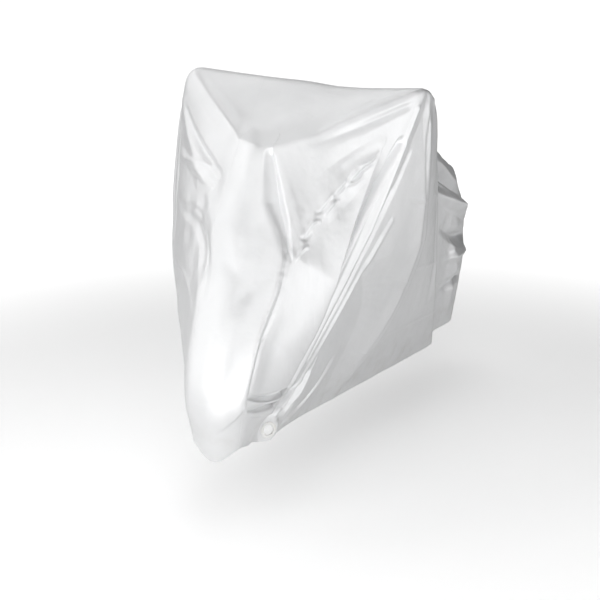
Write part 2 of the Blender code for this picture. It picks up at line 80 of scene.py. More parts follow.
# %% Camera at the viewing angle
BAR_UP = 1.042                 # the handlebar rest, which is the origin, above the floor
CAMERA_HEADING = radians(28.64)
CAMERA_PITCH = radians(15.79)
CAMERA_DISTANCE = 4.671        # from the handlebar, along the floor
CAMERA_ASIDE = -0.022
CAMERA_UP = 1.75
PICTURE = 600                  # pixels along each side of the picture
FOCAL_PIXELS = 1730.9
SENSOR = 36.0                  # mm

camera_data = bpy.data.cameras.new("viewpoint")
camera_data.sensor_width = SENSOR
camera_data.lens = FOCAL_PIXELS * SENSOR / PICTURE
camera = bpy.data.objects.new("viewpoint", camera_data)
bpy.context.scene.collection.objects.link(camera)
to_right = Vector((cos(CAMERA_HEADING), sin(CAMERA_HEADING), 0))
ahead = Vector((-sin(CAMERA_HEADING), cos(CAMERA_HEADING), 0))
camera.location = to_right * CAMERA_ASIDE - ahead * CAMERA_DISTANCE
camera.location.z = CAMERA_UP - BAR_UP
camera.rotation_euler = (pi / 2 - CAMERA_PITCH, 0, CAMERA_HEADING)
bpy.context.scene.camera = camera
print("camera at", [round(value, 3) for value in camera.location])
print("lens", round(camera_data.lens, 1), "mm")

# %% [markdown]
# ## The shape of the cloth as a few ribs
#
# The cloth hangs in fans: from the two handlebar ends it runs down to the nose, to the eyelets
# and to the rear corners. A fan is easy to describe by ribs. Each rib is a line down the cloth
# with a point at the seam, the shoulder, the upper and lower side and the hem. Its places are
# millimetres ahead, aside and up from the floor. They follow the solids, and leave them only where
# the slack wall behind the left pull hangs up to 25 mm off. A simulation over a hidden bicycle
# could find such a shape too, but it would need the bicycle, and it would not put the folds where
# they have to be.

# %% Ribs of the two sides
STEER = radians(9.5)           # the handlebar and the front wheel are turned to the rider's left
CROWN = 0.004                  # how far the middle strip's centre stands above its two seams
CREST, SEAM, SHOULDER, UPPER, LOWER, HEM = 1, 2, 3, 4, 5, 6
LEVEL_ROUND = (0.5, 0.5, 0.5, None, 0.5, 0.5, 0.5)     # None stands for the rib's own edge

# turn: share of the steering; soft: how softly cloth bends over the rib; edge: at its shoulder.
Rib = namedtuple("Rib", "name turn soft edge seam shoulder upper lower hem")


def table_rows(text):
    """Rows of a written table: each a name and its columns, which are tuples of numbers."""
    for line in text.strip().splitlines():
        if not line.startswith("#"):
            name, *columns = line.split("|")
            yield name.strip(), *(tuple(map(float, column.split())) for column in columns)


def metres(lengths):
    """Millimetres as metres."""
    return tuple(length / 1000 for length in lengths)


def rib_table(text):
    """Ribs from a written table, whose points are in millimetres."""
    ribs = []
    for name, numbers, *points in table_rows(text):
        ribs.append(Rib(name, *numbers, *map(metres, points)))
    return ribs


TAIL_RIBS = rib_table("""
# name | turn, soft, edge | seam | shoulder | upper | lower | hem
bulge     | 0.0 0.50 0.40 | -700 65 760  | -720 100 705 | -800 118 545 | -835 108 360 | -840 74 160
tail edge | 0.0 0.40 0.40 | -885 50 645  | -930 45 620  | -980 56 520  | -968 56 330  | -900 46 150
""")
LEFT_RIBS = rib_table("""
# name | turn, soft, edge | seam | shoulder | upper | lower | hem
nose edge | 1.0 0.30 0.18 | 262 20 950   | 322 5 915    | 435 98 672   | 680 83 395   | 633 38 215
hollow    | 1.0 0.45 0.20 | 190 70 980   | 250 110 940  | 350 125 700  | 574 88 388   | 562 34 199
facet     | 1.0 0.50 0.20 | 105 88 1012  | 145 215 988  | 262 160 735  | 455 112 405  | 512 24 190
ridge     | 1.0 0.25 0.08 | 20 90 1034   | 20 335 1048  | 140 250 790  | 317 135 450  | 478 38 176
band      | 0.7 0.40 0.08 | -30 90 1030  | -60 340 1030 | -30 285 750  | 90 180 420   | 392 62 172
fall      | 0.4 0.40 0.15 | -100 90 1000 | -140 327 985 | -200 276 700 | -140 199 400 | 230 72 163
wall      | 0.0 0.50 0.20 | -200 88 960  | -195 300 945 | -285 255 700 | -355 195 400 | -120 92 153
corner    | 0.0 0.15 0.25 | -320 85 930  | -250 271 905 | -380 226 680 | -485 182 380 | -613 112 150
valley    | 0.0 0.45 0.35 | -480 80 850  | -420 150 820 | -500 110 650 | -590 75 380  | -680 60 155
""") + TAIL_RIBS
RIGHT_RIBS = rib_table("""
# name | turn, soft, edge | seam | shoulder | upper | lower | hem
nose edge | 1.0 0.30 0.18 | 255 85 958   | 294 86 926   | 400 118 735  | 665 108 365  | 632 96 229
hollow    | 1.0 0.45 0.20 | 190 90 985   | 240 140 955  | 345 170 740  | 550 165 400  | 560 84 214
facet     | 1.0 0.50 0.20 | 110 90 1015  | 150 245 1010 | 250 265 740  | 380 250 420  | 500 70 199
ridge     | 1.0 0.30 0.20 | 20 90 1052   | 20 354 1080  | 100 362 770  | 200 328 460  | 440 85 186
band      | 0.7 0.40 0.20 | -30 90 1046  | -60 356 1045 | 0 350 760    | 60 295 420   | 372 100 175
fall      | 0.4 0.40 0.15 | -100 90 1005 | -150 330 980 | -170 320 710 | -140 245 400 | 230 118 163
wall      | 0.0 0.50 0.20 | -200 88 965  | -200 310 940 | -290 275 700 | -350 215 400 | -140 128 153
corner    | 0.0 0.30 0.25 | -320 85 930  | -290 260 900 | -400 225 680 | -500 180 380 | -600 125 150
valley    | 0.0 0.50 0.35 | -480 80 850  | -460 160 815 | -530 130 650 | -610 100 380 | -690 80 155
""") + TAIL_RIBS
NOSE_MIDDLE, TAIL_MIDDLE = rib_table("""
# name | turn, soft, edge | seam | shoulder | upper | lower | hem
nose middle | 1.0 0.50 0.20 | 268 -36 955 | 320 -42 922 | 468 -14 700 | 712 -8 385 | 668 -25 168
tail middle | 0.0 0.50 0.40 | -900 0 649  | -945 0 626  | -1002 0 525 | -990 0 335 | -920 0 148
""")

print("ribs on each side:", len(LEFT_RIBS))

# %% [markdown]
# ## From ribs to a surface
#
# Between ribs the cloth is straight, as stretched cloth is, and it bends softly over each rib.
# The same rule works along a rib and across ribs: walk along a polyline, and near a corner leave
# it for a small curve that touches both sides. A NURBS surface would do this too, but its curve
# swings wide of its points, and here each rib says for itself how sharply the cloth turns.

# %% Rounded lines and plain cloth
def place(point, turn, side):
    """A rib's point in the object's frame. side is 1 on the rider's left and -1 on the right."""
    forward, aside, up = point
    angle = STEER * turn
    aside *= side
    x = forward * sin(angle) + aside * cos(angle)
    y = -forward * cos(angle) + aside * sin(angle)
    return np.array((x, y, up - BAR_UP))


def rounded(points, rounds, at):
    """The place `at` along a polyline whose corner i is rounded over rounds[i] of each side."""
    last = len(points) - 1
    corner = min(max(int(round(at)), 0), last)
    soft = rounds[corner]
    offset = at - corner
    if 0 < corner < last and abs(offset) < soft:
        share = (offset + soft) / (2 * soft)
        before = points[corner] + soft * (points[corner - 1] - points[corner])
        after = points[corner] + soft * (points[corner + 1] - points[corner])
        return (1 - share) ** 2 * before + 2 * share * (1 - share) * points[corner] + share ** 2 * after
    low = min(max(int(at), 0), last - 1)
    return points[low] + (at - low) * (points[low + 1] - points[low])


def rib_points(rib, opposite, side):
    """A rib's seven points: the opposite seam, the crest between the seams, and its own five."""
    own = [place(point, rib.turn, side) for point in rib[4:]]
    other = place(opposite.seam, opposite.turn, -side)
    crest = (own[0] + other) / 2 + np.array((0, 0, CROWN))
    return [other, crest] + own


def side_ribs(side):
    """All ribs of one side, from the nose middle to the tail middle, with how each is rounded."""
    own, opposite = (LEFT_RIBS, RIGHT_RIBS) if side > 0 else (RIGHT_RIBS, LEFT_RIBS)
    ribs = [rib_points(rib, other, side) for rib, other in zip(own, opposite)]
    ends = []
    for middle in (NOSE_MIDDLE, TAIL_MIDDLE):
        points = [place((forward, aside * side, up), middle.turn, side)
                  for forward, aside, up in middle[4:]]
        ends.append([points[0], points[0]] + points)
    rows = (NOSE_MIDDLE, *own, TAIL_MIDDLE)
    softness = [rib.soft for rib in rows]
    level_softness = [[rib.edge if soft is None else soft for soft in LEVEL_ROUND] for rib in rows]
    return [ends[0]] + ribs + [ends[1]], softness, level_softness


HANDS = {"left": 1, "right": -1}
SIDES = {side: side_ribs(side) for side in HANDS.values()}


def cloth_grid(side, rib_places, level_places):
    """Points of the plain cloth, as a grid of ribs by levels."""
    ribs, softness, level_softness = SIDES[side]
    lines = [np.array([rounded(rib, soft, level) for level in level_places])
             for rib, soft in zip(ribs, level_softness)]
    return np.array([rounded(lines, softness, rib + 1) for rib in rib_places])


def cloth_point(side, rib, level):
    """One point of the plain cloth, at a place counted in ribs from the nose edge and in levels."""
    return cloth_grid(side, [rib], [level])[0, 0]


def unit(vectors):
    """The same directions with length one."""
    return vectors / np.linalg.norm(vectors, axis=-1, keepdims=True)


NORMAL_STEP = 0.01             # share of a rib or level between the points that give a normal


def cloth_normal(side, rib, level):
    """The outward direction of the plain cloth at a place."""
    step = np.array((-NORMAL_STEP, NORMAL_STEP))
    near = cloth_grid(side, rib + step, level + step)
    along = near[1].mean(axis=0) - near[0].mean(axis=0)
    down = near[:, 1].mean(axis=0) - near[:, 0].mean(axis=0)
    return unit(side * np.cross(down, along))


print("handlebar end, left:", cloth_point(1, 3, SHOULDER).round(3))

# %% [markdown]
# ## The folds that the pull makes
#
# Cloth that is pulled between two points throws straight ridges and troughs along the pull: from
# the handlebar end to the eyelet, and in a small fan round the eyelet. Each is a row in a table:
# its heights, half-widths and places at its start, bend and end. The first table holds the folds
# of the solids, some of them deeper or shallower than there, and two broad swells. Sculpting by
# hand would look as good, but a table can be read and changed.

# %% Table of the main folds
# Heights over 0 are ridges, under 0 troughs. Side 1 is the rider's left. A place is a rib and a
# level, with ribs counted from the nose edge's 0, and -1 the nose's middle.
Fold = namedtuple("Fold", "name side heights widths start bend end")


def fold_table(kind, text):
    """Folds of one kind from a written table, in millimetres apart from the places."""
    folds = []
    for name, (side,), *lengths, start, bend, end in table_rows(text):
        folds.append(kind(name, side, *map(metres, lengths), start, bend, end))
    return folds


FOLDS = fold_table(Fold, """
# name | side | heights, mm | half-widths, mm | start | bend | end
# the pull from the left handlebar end to the left eyelet
trough before the ridge |  1 | -3 -13 -5 | 14 20 12  | 3.00 3.50  | 2.60 4.50  | 2.75 5.40
tension ridge           |  1 | 5 12 5    | 14 17 11  | 3.15 3.20  | 3.12 4.25  | 3.00 5.50
trough behind the ridge |  1 | -2 -6 -3  | 12 14 11  | 3.50 3.60  | 3.35 4.40  | 3.20 5.30
second ridge            |  1 | 2 5 3     | 12 14 10  | 3.70 4.20  | 3.45 4.75  | 3.35 5.50
band ridge              |  1 | 3 8 6     | 30 35 24  | 4.20 3.30  | 5.15 4.60  | 5.45 5.75
facet swell             |  1 | 2 8 4     | 50 120 65 | 2.45 3.90  | 2.00 4.65  | 1.35 5.22
band swell              |  1 | 2 6 3     | 60 110 60 | 4.15 3.30  | 4.95 4.55  | 5.30 5.45
# gathers that fan out from the left eyelet
gather                  |  1 | -3 -6 -2  | 11 13 11  | 0.15 5.23  | 1.20 5.30  | 2.40 5.37
gather                  |  1 | -3 -6 -2  | 11 13 11  | 0.25 5.40  | 1.70 5.47  | 2.95 5.50
gather                  |  1 | 2 5 2     | 11 13 11  | 0.50 5.49  | 1.90 5.56  | 3.05 5.57
gather                  |  1 | -5 -7 -2  | 10 12 11  | 2.45 5.80  | 2.95 5.66  | 3.30 5.50
gather                  |  1 | -5 -7 -3  | 10 12 11  | 3.18 5.82  | 3.52 5.70  | 3.47 5.42
gather                  |  1 | 3 5 2     | 10 11 10  | 3.82 5.84  | 3.66 5.68  | 3.56 5.45
gather                  |  1 | -4 -7 -2  | 10 13 12  | 3.95 5.92  | 4.62 5.80  | 4.20 5.38
# the apron before the bar, and the crumpled step under it
apron crease            |  1 | -3 -4 -1  | 14 22 18  | 2.80 3.14  | 2.00 3.10  | 0.70 3.03
apron ridge             |  1 | 1 3 1     | 14 20 18  | 2.90 2.98  | 2.20 2.92  | 1.20 2.84
crumple trough          |  1 | -1 -2 -1  | 18 22 18  | 2.45 3.45  | 1.70 3.52  | 0.75 3.66
crumple ridge           |  1 | 1 2 1     | 16 20 16  | 2.50 3.58  | 1.75 3.66  | 0.75 3.80
# the strip's own folds on the nose
seam lens               |  1 | -1 -3 -1  | 14 26 14  | -0.15 3.04 | -0.20 3.50 | 0.35 3.95
lens edge               |  1 | 0.5 1 0.5 | 14 18 14  | 0.15 3.05  | 0.30 3.45  | 0.60 3.90
nose hollow             |  1 | -1 -3 -1  | 22 30 22  | -0.45 3.95 | -0.80 4.10 | -0.75 4.45
# the wall behind
wall trough             |  1 | -2 -6 -2  | 20 26 20  | 6.60 3.40  | 6.80 4.20  | 6.70 5.20
tail crumple            |  1 | -6 -22 -5 | 30 40 30  | 8.50 3.25  | 8.90 3.45  | 9.45 3.75
tail crumple            |  1 | 4 15 4    | 26 32 26  | 8.55 3.85  | 9.00 3.98  | 9.50 4.10
tail crumple            |  1 | -4 -15 -4 | 26 30 26  | 8.70 4.52  | 9.15 4.58  | 9.70 4.52
# the rider's right, which is pulled to its own eyelet
right crease            | -1 | -2 -7 -3  | 18 24 16  | 2.70 3.30  | 1.90 3.42  | 0.70 3.50
right ridge             | -1 | 2 6 3     | 18 22 16  | 2.60 3.68  | 1.70 3.62  | 0.90 3.68
right hollow            | -1 | -2 -8 -3  | 18 26 18  | 2.30 4.06  | 1.10 4.02  | 0.15 4.35
right tension ridge     | -1 | 3 8 4     | 14 18 12  | 3.10 3.30  | 3.15 4.40  | 3.00 5.50
right trough            | -1 | -2 -8 -3  | 14 20 12  | 3.45 3.50  | 3.50 4.50  | 3.30 5.40
right gather            | -1 | -3 -6 -2  | 11 14 12  | 0.60 5.50  | 1.60 5.42  | 2.70 5.35
right gather            | -1 | -4 -7 -2  | 11 14 12  | 3.80 5.84  | 4.30 5.72  | 4.15 5.40
right tail crumple      | -1 | -4 -11 -4 | 28 36 28  | 8.45 3.50  | 8.95 3.80  | 9.50 3.90
""")
print("main folds:", len(FOLDS))

# %% [markdown]
# ## The smaller creases
#
# The fine sheets carry what thin solids leave out: the crisp edges beside the main pull, the
# crumpled step under the handlebar, the marks where the cover lay folded in its bag, and the
# slack folds of the tail. The table has the same columns, but a crease has a sharp crown and long
# feet, as a bent coated cloth has, where a fold is round.

# %% Table of the fine creases
CREASES = fold_table(Fold, """
# name | side | heights, mm | half-widths, mm | start | bend | end
# beside the main pull to the left eyelet
pull line          |  1 | 2 7 3          | 10 12 10 | 3.16 3.55  | 3.16 4.24  | 3.08 5.46
pull shadow        |  1 | -12 -34 -12    | 14 20 12 | 2.99 3.52  | 2.72 4.30  | 2.58 5.21
hind shadow        |  1 | -3 -13 -5      | 9 12 8   | 3.42 3.95  | 3.30 4.70  | 3.17 5.30
hind line          |  1 | 1 3 2          | 8 9 8    | 3.62 4.36  | 3.38 5.00  | 3.44 5.41
end fold           |  1 | 2 8 2          | 12 20 16 | 3.55 3.02  | 3.80 3.20  | 4.20 3.60
# the fan of gathers round the left eyelet
fan                |  1 | -3 -14 -3      | 7 9 7    | 0.19 5.24  | 1.20 5.32  | 2.28 5.36
fan                |  1 | 2 7 2          | 7 8 7    | 0.40 5.32  | 1.50 5.39  | 2.75 5.44
fan                |  1 | -3 -14 -3      | 7 9 7    | 0.30 5.41  | 1.70 5.46  | 2.96 5.49
fan                |  1 | 2 7 2          | 7 8 7    | 1.10 5.58  | 2.10 5.56  | 2.90 5.53
fan                |  1 | -3 -14 -3      | 6 8 7    | 2.45 5.80  | 2.92 5.68  | 3.30 5.53
fan                |  1 | 2 7 2          | 6 7 6    | 2.85 5.80  | 3.20 5.66  | 3.38 5.48
fan                |  1 | -3 -14 -3      | 6 8 7    | 3.18 5.80  | 3.46 5.62  | 3.45 5.42
fan                |  1 | 2 7 2          | 6 7 6    | 3.55 5.84  | 3.62 5.62  | 3.52 5.30
fan                |  1 | -3 -14 -3      | 7 10 9   | 3.95 5.90  | 4.58 5.76  | 4.17 5.39
# the pull over the left handlebar end
end pleat          |  1 | -2 -5 -2       | 9 12 10  | 3.75 3.05  | 4.00 3.40  | 4.40 3.90
end pleat          |  1 | 2 4 2          | 9 11 10  | 4.30 3.02  | 4.55 3.35  | 4.90 3.75
apron line         |  1 | -2 -4 -1       | 10 14 12 | 2.85 3.12  | 2.15 3.10  | 0.90 3.03
apron line         |  1 | 1 2 1          | 9 12 10  | 2.90 2.96  | 2.35 2.90  | 1.50 2.84
apron line         |  1 | -1 -1.5 -1     | 8 10 9   | 2.88 2.84  | 2.50 2.72  | 1.90 2.66
# the crumpled step between the apron and the facet
step               |  1 | 2 8 3          | 30 50 35 | 2.62 3.46  | 1.80 3.60  | 0.55 3.90
crumple            |  1 | 1.8 5.4 1.8    | 6 8 6    | 2.50 3.50  | 2.34 3.56  | 2.10 3.53
crumple            |  1 | -1.8 -5.4 -1.8 | 5 7 6    | 2.46 3.58  | 2.25 3.60  | 2.04 3.66
crumple            |  1 | 1.8 5.4 1.8    | 6 8 6    | 2.30 3.68  | 2.08 3.70  | 1.84 3.62
crumple            |  1 | -1.8 -5.4 -1.8 | 5 7 6    | 2.02 3.56  | 1.86 3.68  | 1.62 3.70
crumple            |  1 | 1.8 5 1.8      | 6 7 6    | 1.80 3.78  | 1.60 3.76  | 1.38 3.82
crumple            |  1 | -1.8 -5 -1.8   | 5 7 6    | 1.50 3.70  | 1.30 3.78  | 1.06 3.76
crumple            |  1 | 1.8 4.7 1.8    | 6 7 6    | 1.24 3.86  | 1.00 3.82  | 0.78 3.88
crumple            |  1 | -1.8 -4.7 -1.8 | 5 7 5    | 0.98 3.92  | 0.76 3.94  | 0.55 3.90
crumple            |  1 | 1.8 4.3 1.8    | 6 7 5    | 0.90 4.02  | 0.66 4.00  | 0.45 4.06
# the hollows of the strip on the nose
nose facet         |  1 | -1 -3 -1       | 30 40 30 | -0.50 3.10 | -0.62 3.60 | -0.50 4.10
nose facet         |  1 | 1 3 1          | 24 32 24 | -0.40 3.95 | -0.72 4.05 | -1.00 4.25
nose facet         |  1 | -1 -3 -1       | 24 30 24 | -0.30 4.15 | -0.60 4.28 | -0.98 4.45
# marks of the folds in which the cover was packed, left side
packing mark       |  1 | 0.8 2 0.8      | 7 9 7    | 4.02 3.98  | 4.30 3.99  | 4.62 3.97
packing mark       |  1 | -0.8 -1.8 -0.8 | 7 9 7    | 4.05 4.02  | 4.35 4.03  | 4.60 4.01
packing mark       |  1 | 1 2.5 1        | 8 10 8   | 4.20 4.68  | 4.62 4.70  | 5.12 4.75
packing mark       |  1 | -1 -2.2 -1     | 8 10 8   | 4.30 4.74  | 4.70 4.77  | 5.05 4.80
packing mark       |  1 | 1 2.2 1        | 8 10 8   | 4.70 5.36  | 5.05 5.42  | 5.48 5.50
packing mark       |  1 | 0.6 1.4 0.6    | 8 9 8    | 6.10 3.95  | 7.00 3.98  | 7.80 3.96
packing mark       |  1 | 0.6 1.4 0.6    | 8 9 8    | 5.60 4.72  | 6.60 4.75  | 7.70 4.72
packing mark       |  1 | 0.6 1.4 0.6    | 8 9 8    | 5.80 5.42  | 6.70 5.44  | 7.80 5.40
# the slack tail
tail fold          |  1 | -6 -30 -6      | 22 36 22 | 8.30 3.28  | 8.85 3.42  | 9.40 3.62
tail fold          |  1 | 5 24 5         | 20 34 20 | 8.35 3.80  | 8.90 3.92  | 9.50 4.00
tail fold          |  1 | -5 -24 -5      | 20 32 20 | 8.50 4.42  | 9.05 4.54  | 9.75 4.50
tail fold          |  1 | 4 20 4         | 18 30 18 | 8.60 4.90  | 9.10 4.78  | 9.70 4.76
tail fold          |  1 | -4 -16 -4      | 18 28 18 | 8.40 5.40  | 9.00 5.20  | 9.60 5.22
tail fold          |  1 | 2 6 2          | 14 20 16 | 7.90 3.10  | 8.10 4.20  | 8.20 5.60
tail pleat         |  1 | 3 12 4         | 30 60 34 | 8.70 3.20  | 8.95 3.95  | 8.80 4.60
tail pleat         |  1 | 3 11 4         | 28 50 30 | 8.75 4.50  | 8.95 5.00  | 8.80 5.60
tail valley        |  1 | -6 -30 -4      | 26 50 24 | 7.90 3.00  | 8.15 3.25  | 8.60 3.70
# the rider's right side
right top edge     | -1 | 2 6 2          | 20 35 22 | 2.85 2.95  | 1.60 2.85  | 0.10 2.95
right facet        | -1 | 2 8 3          | 25 45 30 | 3.00 3.25  | 1.90 3.55  | 0.40 3.90
right pull         | -1 | 2 5 3          | 10 12 10 | 3.10 3.40  | 3.15 4.40  | 3.02 5.46
right pull         | -1 | -2 -5 -3       | 10 12 10 | 3.42 3.60  | 3.48 4.50  | 3.28 5.36
right pull         | -1 | -2 -4 -2       | 10 12 10 | 2.80 3.45  | 2.60 4.40  | 2.75 5.36
right crease       | -1 | -2 -5 -2       | 12 14 12 | 2.60 3.30  | 1.80 3.42  | 0.60 3.52
right crease       | -1 | 1 4 1          | 10 13 10 | 2.55 3.70  | 1.73 3.56  | 0.95 3.46
right crease       | -1 | -1 -4 -1       | 11 14 11 | 2.42 4.05  | 1.29 3.92  | 0.60 4.06
right crease       | -1 | 1 3 1          | 10 12 10 | 2.50 4.52  | 1.50 4.46  | 0.45 4.60
right slack        | -1 | -2 -5 -2       | 12 16 12 | 0.50 4.08  | 0.00 4.22  | -0.14 4.44
right fan          | -1 | -1.5 -5 -1.5   | 7 9 7    | 0.40 5.46  | 1.60 5.42  | 2.70 5.36
right fan          | -1 | 2 7 2          | 7 8 7    | 0.80 5.62  | 1.80 5.56  | 2.80 5.50
right fan          | -1 | -1.5 -5 -1.5   | 7 9 7    | 2.40 5.80  | 2.85 5.66  | 3.20 5.48
right fan          | -1 | -1.5 -5 -1.5   | 7 10 8   | 3.80 5.84  | 4.30 5.72  | 4.15 5.40
right packing mark | -1 | 0.8 1.8 0.8    | 8 9 8    | 4.10 3.98  | 5.60 4.00  | 7.40 3.97
right packing mark | -1 | 0.8 1.8 0.8    | 8 9 8    | 4.10 4.70  | 5.60 4.74  | 7.60 4.72
right packing mark | -1 | 0.8 1.8 0.8    | 8 9 8    | 4.40 5.40  | 5.80 5.44  | 7.60 5.42
right tail fold    | -1 | -3 -9 -3       | 16 22 16 | 8.40 3.48  | 8.92 3.76  | 9.50 3.88
right tail fold    | -1 | 3 7 3          | 14 20 14 | 8.30 4.20  | 8.90 4.38  | 9.60 4.30
right tail fold    | -1 | -2 -6 -2       | 14 20 14 | 8.40 5.10  | 9.00 4.92  | 9.70 4.98
right tail fold    | -1 | 2 6 2          | 14 20 16 | 7.90 3.10  | 8.10 4.30  | 8.20 5.60
""")
print("fine creases:", len(CREASES))

# %% [markdown]
# ## Flat facets between the pulls
#
# Where two pulls hold the cloth between them it lies flat, and the flat ends at an edge. Such a
# facet rises evenly from its foot to its edge and falls more steeply past it, so it has one
# width before the edge, toward the nose, and another one after it.

# %% Table of the flat facets
Facet = namedtuple("Facet", "name side heights before after start bend end")
FACETS = fold_table(Facet, """
# name          | side | heights, mm | before, mm | after, mm | start | bend | end
seam pocket     | 1 | -12 -26 -8 | 22 54 34   | 4 6 5       | 0.01 3.04 | 0.09 3.50 | 0.20 3.94
beside the seam | 1 | -4 -22 -6  | 12 16 12   | 100 210 160 | 0.10 3.98 | 0.10 4.62 | 0.10 5.30
front facet     | 1 | 4 40 26    | 60 250 190 | 20 34 26    | 2.56 3.56 | 2.36 4.55 | 1.95 5.28
band            | 1 | 6 42 16    | 50 240 110 | 40 120 70   | 4.05 3.26 | 4.62 4.35 | 5.30 5.62
""")
print("flat facets:", len(FACETS))

# %% [markdown]
# ## Moving cloth to its folds
#
# Every point looks for the nearest place on each fold's line and moves out or in by the fold's
# height there. Round an eyelet the cloth is pressed flat, because the ring clamps it. All points
# of a sheet are worked out together as one array, which is much quicker than a loop in Python.

# %% Moving points by folds
LINE_SHARES = np.linspace(0, 2, 25)        # places along a fold's line: 1 is its bend
SAMPLES = np.arange(len(LINE_SHARES))
CROWN_ROUND = 0.10             # share of a crease's half-width over which its crown is rounded
CREASE_HOLLOW = 1.4            # over 1, so that a crease's flanks are hollow
EDGE_ROUND = 0.03              # the same share for the edge of a flat facet


def fold_line(fold, *columns):
    """Points and outward directions along a fold's line, and its columns of three read along it."""
    stops = [np.array(stop) for stop in (fold.start, fold.bend, fold.end)]
    places = [rounded(stops, (0.5, 0.5, 0.5), share) for share in LINE_SHARES]
    points = np.array([cloth_point(fold.side, *place) for place in places])
    normals = np.array([cloth_normal(fold.side, *place) for place in places])
    return points, normals, *(np.interp(LINE_SHARES, (0, 1, 2), column) for column in columns)


def along_line(at, stops, points):
    """Points read at the places `at` of a line, where `stops` are the places of its own points."""
    return np.stack([np.interp(at, stops, points[:, axis]) for axis in range(3)], axis=-1)


def nearest_on_line(points, line):
    """Each point's distance from a line of samples, and the place of the nearest point on it."""
    starts, runs = line[:-1], np.diff(line, axis=0)
    offsets = points[:, None, :] - starts
    shares = np.clip((offsets * runs).sum(-1) / (runs ** 2).sum(-1), 0, 1)
    gaps = np.linalg.norm(offsets - shares[..., None] * runs, axis=-1)
    index = gaps.argmin(axis=1)
    every = np.arange(len(points))
    return gaps[every, index], index + shares[every, index]


def soft_profile(share):
    """A round fold: full height on the line, level with the cloth at its half-width."""
    return (1 - share ** 2) ** 2


def straight_profile(share, crown):
    """Flat flanks that meet in a crown, which is rounded over the share `crown`."""
    return np.clip(1 - (np.sqrt(share ** 2 + crown ** 2) - crown), 0, 1)


def crisp_profile(share):
    """A crease: a narrow crown and long feet."""
    return straight_profile(share, CROWN_ROUND) ** CREASE_HOLLOW


def move_by(points, plain, folds, profile):
    """Moves points by a table of folds, each measured from the plain cloth."""
    for fold in folds:
        line, normals, heights, widths = fold_line(fold, fold.heights, fold.widths)
        reach = max(fold.widths)
        close = np.all((plain > line.min(axis=0) - reach) & (plain < line.max(axis=0) + reach), axis=1)
        here = np.flatnonzero(close)
        if not len(here):
            continue
        gap, at = nearest_on_line(plain[here], line)
        share = gap / np.interp(at, SAMPLES, widths)
        inside = share < 1
        here, at, share = here[inside], at[inside], share[inside]
        rise = np.interp(at, SAMPLES, heights) * profile(share)
        points[here] += rise[:, None] * along_line(at, SAMPLES, normals)


def raise_facets(points, plain):
    """Moves points by the flat facets, each measured from the plain cloth."""
    for facet in FACETS:
        line, normals, *columns = fold_line(facet, facet.heights, facet.before, facet.after)
        gap, at = nearest_on_line(plain, line)
        height, before, after = (np.interp(at, SAMPLES, column) for column in columns)
        out = along_line(at, SAMPLES, normals)
        tailward = np.cross(out, line[-1] - line[0]) * facet.side
        past = ((plain - along_line(at, SAMPLES, line)) * tailward).sum(axis=1) > 0
        share = gap / np.where(past, after, before)
        points += (height * straight_profile(share, EDGE_ROUND))[:, None] * out


EYELET_PLACE = (3.0, 5.89)     # rib and level
EYELET_FACING = (0.66, 0.75)   # how far the eyelet faces ahead and aside
EYELET_FLAT = 0.025            # radius of the cloth that lies flat round an eyelet
EYELET_BLEND = 0.052           # and radius past which the cloth hangs as it likes


def eyelet_frame(side):
    """Centre and outward direction of one side's eyelet."""
    facing = place((*EYELET_FACING, BAR_UP), 1.0, side)
    return cloth_point(side, *EYELET_PLACE), unit(facing)


EYELETS = {side: eyelet_frame(side) for side in HANDS.values()}


def press_flat(points, plain):
    """Lays the cloth flat round both eyelets."""
    for centre, normal in EYELETS.values():
        gap = np.linalg.norm(plain - centre, axis=1)
        share = np.clip((EYELET_BLEND - gap) / (EYELET_BLEND - EYELET_FLAT), 0, 1)
        share = share * share * (3 - 2 * share)
        points -= (share * ((points - centre) @ normal))[:, None] * normal


def folded(plain_grid):
    """A grid of plain cloth moved to its folds and creases."""
    plain = plain_grid.reshape(-1, 3)
    points = plain.copy()
    move_by(points, plain, FOLDS, soft_profile)
    move_by(points, plain, CREASES, crisp_profile)
    raise_facets(points, plain)
    press_flat(points, plain)
    return points.reshape(plain_grid.shape)


print("left eyelet at", EYELETS[1][0].round(3), "right eyelet at", EYELETS[-1][0].round(3))

# %% [markdown]
# ## Slack and crumples
#
# Thin coated cloth doesn't wrinkle in waves. It breaks into small flat facets, most where it is
# slack: under the handlebar, on the tail and in the nose's hollows. Noise textures give round
# hills, so the facets come from a few zigzag waves that cross each other, each with flat flanks.
# How high they are is a table too: a few soft spots of slack on an almost tight cover.

# %% Crumples with flat flanks
Slack = namedtuple("Slack", "name side place reach height")
TIGHT = 0.0005                 # crumple height where the cloth is pulled tight
SLACKS = (
    Slack("crumpled step", 1, (1.6, 3.70), 0.075, 0.0026),
    Slack("facet", 1, (1.3, 4.60), 0.150, 0.0006),
    Slack("nose hollows", 1, (-0.7, 4.15), 0.090, 0.0022),
    Slack("left of the strip", -1, (0.3, 4.2), 0.110, 0.0030),
    Slack("right slope", -1, (1.6, 3.9), 0.160, 0.0030),
    Slack("right lower", -1, (1.8, 5.0), 0.180, 0.0022),
    Slack("apron", 1, (1.6, 2.8), 0.100, 0.0012),
    Slack("left wall", 1, (6.0, 4.6), 0.260, 0.0016),
    Slack("right wall", -1, (5.5, 4.4), 0.320, 0.0024),
    Slack("left tail", 1, (9.0, 4.2), 0.200, 0.0040),
    Slack("right tail", -1, (9.0, 4.2), 0.200, 0.0040),
)
CRUMPLE_SIZES = ((0.075, 1.0), (0.034, 0.35))     # size of a facet, and its share of the height
CRUMPLE_WAVES = 7
CRUMPLE_SEED = 5
CRUMPLE_GAIN = 2.4             # waves that cross seldom add up to their full height
WAVE_LENGTHS = (1.2, 2.6)      # least and most, in facet sizes
WAVE_BEND = 0.35               # how far a wave's lines swing sideways, in waves
